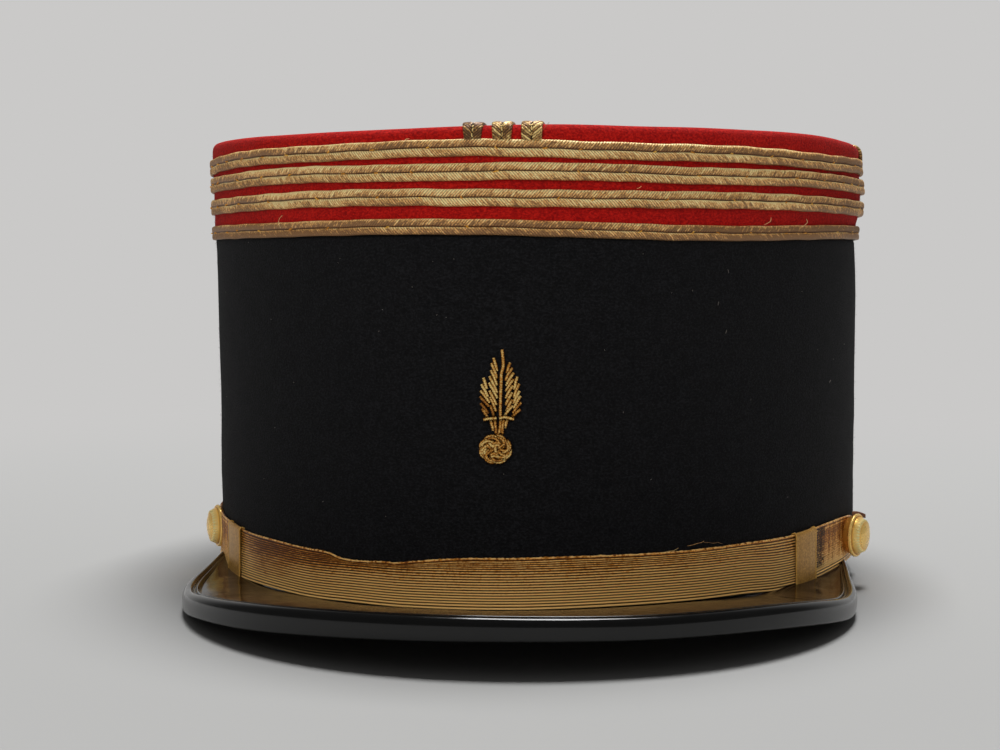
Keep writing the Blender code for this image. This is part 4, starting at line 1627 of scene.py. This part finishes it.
    def build(self) -> None:
        """Builds the strap, its slides and its leather ends."""
        self.face()
        self.slide("strap_slide_left", -93.2 * MM, -83.4 * MM, 0.9 * MM)
        self.slide("strap_slide_right", 79.9 * MM, 89.2 * MM, -0.6 * MM)
        self.tip("strap_end_right", -11.0, 16.9 * MM, 3.2 * MM, 1.3 * MM)
        self.tip("strap_end_left", -172.0, 16.3 * MM, 0.9 * MM, 1.0 * MM)


class ButtonPlace(NamedTuple):
    """Where a side button sits: its angle and level, how far it stands off, and its turn.

    The stand-off is from the band's face to the button's back, along the wall's own direction.
    The turn is towards the front.
    """

    angle: float
    level: float
    stand_off: float
    turn: float


@dataclass
class SideButtons(Dressing):
    """Two domed gilt buttons with a plain rim and a ring of beads.

    outline runs from the middle of the dome over its rim to its back: the distance from the
    middle as a share of radius, and how far out it stands as a share of height.
    """

    radius: float = 5.4 * MM
    height: float = 3.15 * MM
    beads: int = 34
    bead_height: float = 0.26 * MM
    bead_ring: float = 0.735
    round_steps: int = 168
    places: tuple[tuple[str, ButtonPlace], ...] = (
        ("button_left", ButtonPlace(-163.0, 12.4 * MM, 1.1 * MM, 9.8)),
        ("button_right", ButtonPlace(-17.0, 13.1 * MM, 2.9 * MM, -9.3)),
    )
    outline: Table = (
        (0.0, 1.0), (0.2, 0.985), (0.38, 0.93), (0.5, 0.865), (0.57, 0.82), (0.595, 0.785),
        (0.62, 0.785), (0.67, 0.755), (0.74, 0.655), (0.81, 0.47), (0.85, 0.33), (0.87, 0.24),
        (0.895, 0.2), (0.93, 0.235), (0.97, 0.215), (1.0, 0.13), (1.0, 0.04), (0.97, -0.04),
        (0.9, -0.1), (0.88, -0.3), (0.84, -0.6), (0.76, -0.9),
    )

    def button(self, name: str, row: ButtonPlace) -> None:
        """Builds one button, with the hollow back shell that reaches the strap."""
        angle = math.radians(row.angle)
        seat = self.form.wall(np.array(angle), row.level, row.stand_off)
        out, side_on = level_axes(self.form.facing(angle) + math.radians(row.turn))
        line = through(self.outline, 84)
        line[:, 0] = np.maximum(line[:, 0], 0.001)
        reach, height = line[:, 0] * self.radius, line[:, 1] * self.height
        foot = -max(row.stand_off - 0.6 * MM, 0.95 * MM)
        height = np.where(height < 0, height * foot / height[-1], height)
        reach = np.concatenate([reach, [1e-6]])
        height = np.concatenate([height, [foot]])
        turn_by = np.linspace(0, math.tau, self.round_steps, endpoint=False)
        share = reach / self.radius
        ring = bell(share, self.bead_ring, 0.05) * (height > 0.4 * MM)
        lift = self.bead_height * ring[:, None] * (half_wave(self.beads * turn_by) ** 0.7)[None]
        points = (
            seat
            + out * (height[:, None] + lift)[..., None]
            + side_on * (reach[:, None] * np.cos(turn_by)[None])[..., None]
            + UP * (reach[:, None] * np.sin(turn_by)[None])[..., None]
        )
        hollow = 0.6 * bell(share, 0.607, 0.02) + bell(share, 0.88, 0.025)
        hollow = np.where(height > 0, hollow, 0.9)
        relief = 0.7 - 0.6 * hollow[:, None] + 0.4 * lift / self.bead_height
        heap = Heap()
        heap.grid(points, np.clip(relief, 0, 1), wrap_columns=True, flip=True)
        self.wardrobe.dress(heap, f"{name}_stamped", Finish.BRASS, "gilt_brass", name)

    def build(self) -> None:
        """Builds both buttons."""
        for name, row in self.places:
            self.button(name, row)


# ---- Wear ----


class LooseThread(NamedTuple):
    """A thread that has worked loose: its start, its run along and up, curl, lift and shade.

    Places and lengths are in millimetres.
    """

    along: float
    level: float
    run: float
    rise: float
    curl: float
    proud: float
    tone: float


@dataclass
class Wear(Dressing):
    """Loose thread ends and pale lint, where the cap shows them."""

    radius: float = 0.045 * MM
    lint_lengths: tuple[float, float, float] = (0.08, 0.14, 0.4)
    lint_shares: tuple[float, float, float] = (0.55, 0.35, 0.1)
    threads: tuple[LooseThread, ...] = (
        LooseThread(66.0, 89.6, 2.2, 1.6, 0.3, 1.5, 1.2),
        LooseThread(81.0, 89.4, 1.8, 1.9, -0.3, 1.6, 1.2),
        LooseThread(-57.5, 88.7, 0.9, 3.0, 0.3, 1.6, 1.1),
        LooseThread(37.5, 17.6, 4.0, 0.6, 0.3, 0.7, 0.9),
        LooseThread(44.0, 18.6, 4.5, 0.7, -0.2, 0.8, 0.4),
        LooseThread(48.5, 19.0, 5.5, -0.6, 0.3, 0.8, 0.0),
        LooseThread(-7.0, 109.2, 1.4, 1.8, 0.3, 0.6, -0.8),
        LooseThread(9.6, 109.0, 1.3, 1.6, -0.3, 0.6, -0.8),
        LooseThread(-20.0, 106.9, 1.2, 0.8, 0.2, 1.4, 0.9),
        LooseThread(30.0, 96.9, 1.0, 0.7, -0.2, 1.4, 0.9),
    )

    def loose_threads(self) -> None:
        """Builds the loose threads as one piece."""
        heap = Heap()
        t = np.linspace(0, 1, 34)
        for k, row in enumerate(self.threads):
            sway = row.curl * np.sin(math.tau * (1.1 + 0.35 * k % 1) * t) * t
            along = (row.along + row.run * t + 0.4 * sway) * MM
            level = (row.level + row.rise * t + 0.5 * sway) * MM
            proud = (row.proud * (0.7 + 0.5 * np.sin(math.pi * t))) * MM
            path = self.form.at(along, level, proud)
            heap.tube(path, self.radius, 5, np.array([0.1, 0.2, 1.0]), 1.0, row.tone)
        self.wardrobe.dress(heap, "loose_threads", Finish.GOLD_BRAID, "gold_braid")

    def lint(self, name: str, slot: str, count: int, low: float, high: float, seed: int) -> None:
        """Builds pale specks of lint that cling to the nap.

        Args:
            name: the piece's name.
            slot: the material slot of the cloth that they cling to.
            count: how many specks there are.
            low: lowest place of a speck.
            high: highest place of a speck.
            seed: start of the random numbers.
        """
        rng = np.random.default_rng(seed)
        heap = Heap()
        t = np.linspace(-1, 1, 4)
        for _ in range(count):
            along = rng.random() * self.form.girth
            level = rng.uniform(low, high)
            length = rng.choice(self.lint_lengths, p=self.lint_shares) * MM
            lean = rng.uniform(0, math.pi)
            along, level = along + t * length * math.cos(lean), level + t * length * math.sin(lean)
            path = self.form.at(along, level, 0.2 * MM - 0.05 * MM * t**2)
            heap.tube(path, self.radius, 5, np.array([0.3, 0.1, 1.0]), 1.0, rng.random() - 0.3)
        self.wardrobe.dress(heap, name, Finish.LINT, slot)

    def build(self) -> None:
        """Builds the loose threads and the lint."""
        self.loose_threads()
        self.lint("band_lint", "blue_black_wool", 90, 20 * MM, 86 * MM, 41)
        self.lint("crown_lint", "red_wool", 26, 91 * MM, 109 * MM, 43)


# ---- Peak ----


@dataclass
class Peak(Dressing):
    """The patent leather peak and the bound bead round its edge.

    seam is the height of the peak's inner edge, against distances from the middle of its outer
    edge. rim_outline is the bead's cross-section: how far out it lies as a share of rim_depth,
    and its height as a share of rim_height. A row of stations has a distance along the outer
    edge, the bead's lowest height there, and the shares of its depth and of its height.
    """

    arc_radius: float = 79.1 * MM
    arc_centre: float = -59.9 * MM
    aside: float = 1.3 * MM
    end_x: float = 79.0 * MM
    end_y: float = -33.0 * MM
    seam: Table = (
        (-151, 4.6), (-120, 4.0), (-60, 4.6), (0, 5.5), (30, 6.1), (60, 6.0), (80, 5.5), (95, 5.3),
        (115, 5.9), (151, 6.4),
    )
    thickness: float = 2.0 * MM
    arch: float = 1.6
    rim_height: float = 5.1 * MM
    rim_depth: float = 4.2 * MM
    rim_lip: float = 1.0 * MM
    stitch_pitch: float = 2.2 * MM
    stitch_height: float = 0.14 * MM
    leather_reach: float = 149.0 * MM
    leather_steps: int = 401
    leather_rows: int = 32
    rim_steps: int = 440
    rim_sides: int = 60
    rim_outline: Table = (
        (-1.07, 0.2), (-1.08, 0.6), (-1.0, 0.78), (-0.93, 0.86), (-0.87, 0.96), (-0.82, 0.97),
        (-0.77, 0.88), (-0.71, 0.8), (-0.65, 0.83), (-0.57, 0.93), (-0.45, 1.0), (-0.3, 0.99),
        (-0.16, 0.93), (-0.06, 0.83), (-0.01, 0.68), (0.0, 0.5), (-0.01, 0.3), (-0.05, 0.12),
        (-0.16, 0.02), (-0.4, 0.0), (-0.8, 0.02),
    )
    stations: Table = (
        (-151.0, 4.9, 0.42, 0.42), (-146.0, 4.3, 0.46, 0.46), (-134.0, 2.6, 0.64, 0.64),
        (-122.5, 1.1, 0.84, 0.84), (-106.0, 0.5, 0.97, 0.97), (-96.0, 1.0, 1.0, 1.0),
        (-80.0, 2.6, 1.0, 1.02), (-54.0, 4.5, 1.0, 1.11), (-38.0, 5.65, 1.0, 1.09),
        (-15.0, 6.75, 1.0, 1.04), (12.0, 7.25, 1.0, 0.97), (33.0, 6.9, 1.0, 0.95),
        (49.0, 6.55, 1.0, 0.96), (60.0, 6.1, 1.0, 0.98), (74.0, 5.1, 1.0, 1.0),
        (82.0, 4.3, 1.0, 1.0), (92.0, 3.1, 1.0, 1.0), (106.0, 1.6, 0.97, 0.97),
        (122.5, 1.7, 0.84, 0.84), (134.0, 2.9, 0.64, 0.64), (146.0, 4.7, 0.46, 0.46),
        (151.0, 5.4, 0.42, 0.42),
    )

    def half_edge(self) -> float:
        """Half the length of the peak's edge."""
        straight = math.hypot(self.end_x - self.arc_radius, self.end_y - self.arc_centre)
        return self.arc_radius * math.pi / 2 + straight

    def edge(self, along: Values) -> Points:
        """The peak's outer edge from above, at distances from the middle of its front."""
        arc = self.arc_radius * math.pi / 2
        reach = np.abs(along)
        turn = np.minimum(reach, arc) / self.arc_radius
        t = np.clip((reach - arc) / (self.half_edge() - arc), 0, None)
        x = self.arc_radius * np.sin(turn) + (self.end_x - self.arc_radius) * t
        y = self.arc_centre - self.arc_radius * np.cos(turn)
        y = y + (self.end_y - self.arc_centre) * t
        return np.stack([np.sign(along) * x + self.aside, y], axis=-1)

    def inward(self, along: Values) -> Points:
        """The direction from above, from the edge into the peak."""
        step = 0.5 * MM
        run = self.edge(along + step) - self.edge(along - step)
        return unit(np.stack([-run[:, 1], run[:, 0]], axis=-1))

    def leather(self) -> None:
        """The peak's sheet, arched over its middle, with the slight waves of stiff leather."""
        along = np.linspace(-self.leather_reach, self.leather_reach, self.leather_steps)
        low, bead, tall = smooth_line(self.stations, along / MM).T
        level = low * MM + self.rim_height * tall - self.rim_lip * bead
        outer = self.edge(along) + self.inward(along) * (self.rim_depth * bead)[:, None]
        turn = np.arctan2(outer[:, 1] / self.form.half_length, outer[:, 0] / self.form.half_width)
        seam = smooth_line(self.seam, along / MM) * MM
        inner = self.form.wall(turn, seam, 0.15 * MM)[:, :2]
        inner[:, 1] -= self.form.shift
        share = np.linspace(0, 1, self.leather_rows)
        rise = 1 - (1 - share) ** self.arch
        flat = inner[None] + (outer - inner)[None] * share[:, None, None]
        height = seam[None] + (level - seam)[None] * rise[:, None]
        wave = uneven(height.shape, ((5, 60), 0.05, 31), ((3, 180), 0.008, 32))
        height = height + wave * np.sin(math.pi * share)[:, None]
        top = np.stack([flat[..., 0], flat[..., 1] + self.form.shift, height], axis=-1)
        under = (top - self.thickness * UP)[::-1]
        heap = Heap()
        heap.grid(np.concatenate([top, under]), wrap_rows=True)
        for edge, flip in ((0, True), (-1, False)):
            heap.grid(np.stack([top[:, edge], under[::-1, edge]]), flip=flip)
        self.wardrobe.dress(heap, "peak_leather", Finish.PEAK_LEATHER, "patent_leather", "peak")

    def rim(self) -> None:
        """The bead: leather bound over the edge, with a stitched groove inside its ridge."""
        outline = np.array(self.rim_outline) * (self.rim_depth, self.rim_height)
        line = through(outline, self.rim_sides, closed=True)
        limit = self.half_edge()
        along = np.linspace(-limit, limit, self.rim_steps)
        low, bead, tall = smooth_line(self.stations, along / MM).T
        edge, inward = self.edge(along), self.inward(along)
        flat = edge[:, None] - inward[:, None] * (line[None, :, 0] * bead[:, None])[..., None]
        level = low[:, None] * MM + line[None, :, 1] * tall[:, None]
        in_groove = bell(line[:, 0], -0.71 * self.rim_depth, 0.22 * MM)
        in_groove *= line[:, 1] > 0.6 * self.rim_height
        stitch = self.stitch_height * half_wave(math.tau * along / self.stitch_pitch)
        level = level + stitch[:, None] * in_groove[None] * bead[:, None]
        heap = Heap()
        heap.rod(np.stack([flat[..., 0], flat[..., 1] + self.form.shift, level], axis=-1))
        self.wardrobe.dress(heap, "peak_rim_bead", Finish.RIM_LEATHER, "patent_leather", "peak_rim")

    def build(self) -> None:
        """Builds the leather and its bead."""
        self.leather()
        self.rim()


# ---- Studio ----


@dataclass
class Studio:
    """A plain pale floor that fades into an even backdrop, two softboxes and a camera."""

    camera_place: tuple[float, float, float] = (40.08 * MM, -460.0 * MM, 82.14 * MM)
    camera_tilt: float = 3.78
    camera_swing: float = 5.934
    camera_roll: float = 0.156
    lens: float = 64.08
    sensor: float = 36.0
    floor_radius: float = 8.0
    floor_colour: str = "b5b5b4"
    near_colour: str = "c8c8c7"
    backdrop_colour: str = "cac9c8"
    backdrop_light: str = "fffefc"
    backdrop_share: float = 0.35
    gloom: float = 0.09

    def camera(self) -> None:
        """Stands the camera where the photograph was taken."""
        data = bpy.data.cameras.new("camera")
        data.lens, data.sensor_width = self.lens, self.sensor
        data.clip_start, data.clip_end = 0.01, 100.0
        made = bpy.data.objects.new("camera", data)
        bpy.context.scene.collection.objects.link(made)
        turned = Matrix.Rotation(math.radians(self.camera_swing), 4, "Z")
        turned = turned @ Matrix.Rotation(math.radians(90 - self.camera_tilt), 4, "X")
        turned = turned @ Matrix.Rotation(math.radians(self.camera_roll), 4, "Z")
        made.matrix_world = Matrix.Translation(Vector(self.camera_place)) @ turned
        bpy.context.scene.camera = made

    def floor(self) -> None:
        """A wide round floor whose far part glows as evenly as the backdrop."""
        turn = np.linspace(0, math.tau, 96, endpoint=False)
        reach = np.concatenate([[0.001], np.geomspace(0.05, self.floor_radius, 24)])[:, None]
        x, y = reach * np.cos(turn), reach * np.sin(turn)
        heap = Heap()
        heap.grid(np.stack([x, y, np.zeros_like(x)], axis=-1), wrap_columns=True)
        floor = heap.build("studio_floor")
        made, tree, shader = start_material("Painted studio floor, matt")
        place = add_node(tree, "TexCoord", {}).outputs["Object"]
        far = add_node(tree, "VectorMath", {0: place}, operation="LENGTH").outputs["Value"]
        fade = {"Value": far, "From Min": 0.11, "From Max": 0.5}
        share = add_node(tree, "MapRange", fade, interpolation_type="SMOOTHERSTEP")
        ramp_colours = ((0.0, self.near_colour), (1.0, self.backdrop_colour))
        tint = add_node(tree, "ValToRGB", {"Fac": share}, ramp=ramp_colours)
        glow = add_node(tree, "Emission", {"Color": tint, "Strength": 1.0})
        both = add_node(tree, "MixShader", {0: share, 1: shader, 2: glow})
        connect(tree, tree.nodes["Material Output"], {"Surface": both})
        matt = {"Roughness": 0.9, "Specular IOR Level": 0.1}
        connect(tree, shader, {"Base Color": linear(self.floor_colour), **matt})
        floor.data.materials.append(made)

    def sky(self) -> None:
        """The even backdrop, whose light reaches the cap from behind, and a dark room in front."""
        world = bpy.data.worlds.new("studio")
        bpy.context.scene.world = world
        world.use_nodes = True
        tree = world.node_tree
        tree.nodes.clear()
        direction = add_node(tree, "TexCoord", {}).outputs["Generated"]
        depth = add_node(tree, "SeparateXYZ", {0: direction}).outputs["Y"]
        back = {"Value": depth, "From Min": 0.35, "From Max": 0.95}
        behind = add_node(tree, "MapRange", back, interpolation_type="SMOOTHSTEP")
        shares = {0: behind, 1: self.backdrop_share, 2: self.gloom}
        strength = add_node(tree, "Math", shares, operation="MULTIPLY_ADD")
        light = {"Color": linear(self.backdrop_light), "Strength": strength}
        even = {"Color": linear(self.backdrop_colour), "Strength": 1.0}
        seen = add_node(tree, "LightPath", {}).outputs["Is Camera Ray"]
        soft, shown = add_node(tree, "Background", light), add_node(tree, "Background", even)
        both = add_node(tree, "MixShader", {0: seen, 1: soft, 2: shown})
        add_node(tree, "OutputWorld", {0: both})

    def softbox(
        self,
        name: str,
        place: tuple[float, float, float],
        target: tuple[float, float, float],
        size: tuple[float, float],
        power: float,
    ) -> None:
        """Hangs one rectangular light.

        Args:
            name: its name.
            place: where its middle is.
            target: the point that it faces.
            size: its width and height.
            power: its power in watts.
        """
        data = bpy.data.lights.new(name, "AREA")
        data.shape = "RECTANGLE"
        data.size, data.size_y = size
        data.energy = power
        lamp = bpy.data.objects.new(name, data)
        bpy.context.scene.collection.objects.link(lamp)
        lamp.location = place
        lamp.rotation_euler = (Vector(target) - Vector(place)).to_track_quat("-Z", "Y").to_euler()

    def lights(self) -> None:
        """A wide softbox above and behind the cap, and a dim one in front."""
        self.softbox("overhead", (0.07, 0.46, 2.0), (0.0, 0.0, 0.0), (0.8, 1.0), 48.0)
        self.softbox("fill", (-0.1, -1.5, 0.9), (0.0, -0.05, 0.05), (1.2, 1.0), 14.0)

    def aim_fill(self) -> None:
        """Keeps the light in front on the cap alone, once every piece is there."""
        lit = bpy.data.collections.new("lit by the fill")
        for piece in bpy.context.scene.objects:
            if piece.type == "MESH" and piece.name != "studio_floor":
                lit.objects.link(piece)
        fill = bpy.data.objects["fill"]
        fill.light_linking.receiver_collection = lit
        fill.visible_glossy = False

    def build(self) -> None:
        """Builds the studio."""
        bpy.context.scene.view_settings.view_transform = "Standard"
        self.camera()
        self.floor()
        self.sky()
        self.lights()


def main() -> None:
    """Builds the studio and then each part of the cap."""
    logging.basicConfig(level=logging.INFO, format="%(name)s: %(message)s")
    form, wardrobe, studio = CapForm(), Wardrobe(), Studio()
    builders: tuple[tuple[str, Callable[[], None]], ...] = (
        ("studio", studio.build),
        ("cloth body", ClothBody(form, wardrobe).build),
        ("ring braids", RingBraids(form, wardrobe).build),
        ("edge braids", EdgeBraids(form, wardrobe).build),
        ("grenade badge", GrenadeBadge(form, wardrobe).build),
        ("chin strap", ChinStrap(form, wardrobe).build),
        ("side buttons", SideButtons(form, wardrobe).build),
        ("loose threads and lint", Wear(form, wardrobe).build),
        ("peak", Peak(form, wardrobe).build),
        ("fill light", studio.aim_fill),
    )
    for name, build in builders:
        build()
        LOG.info("built the %s", name)


if __name__ == "__main__":
    main()
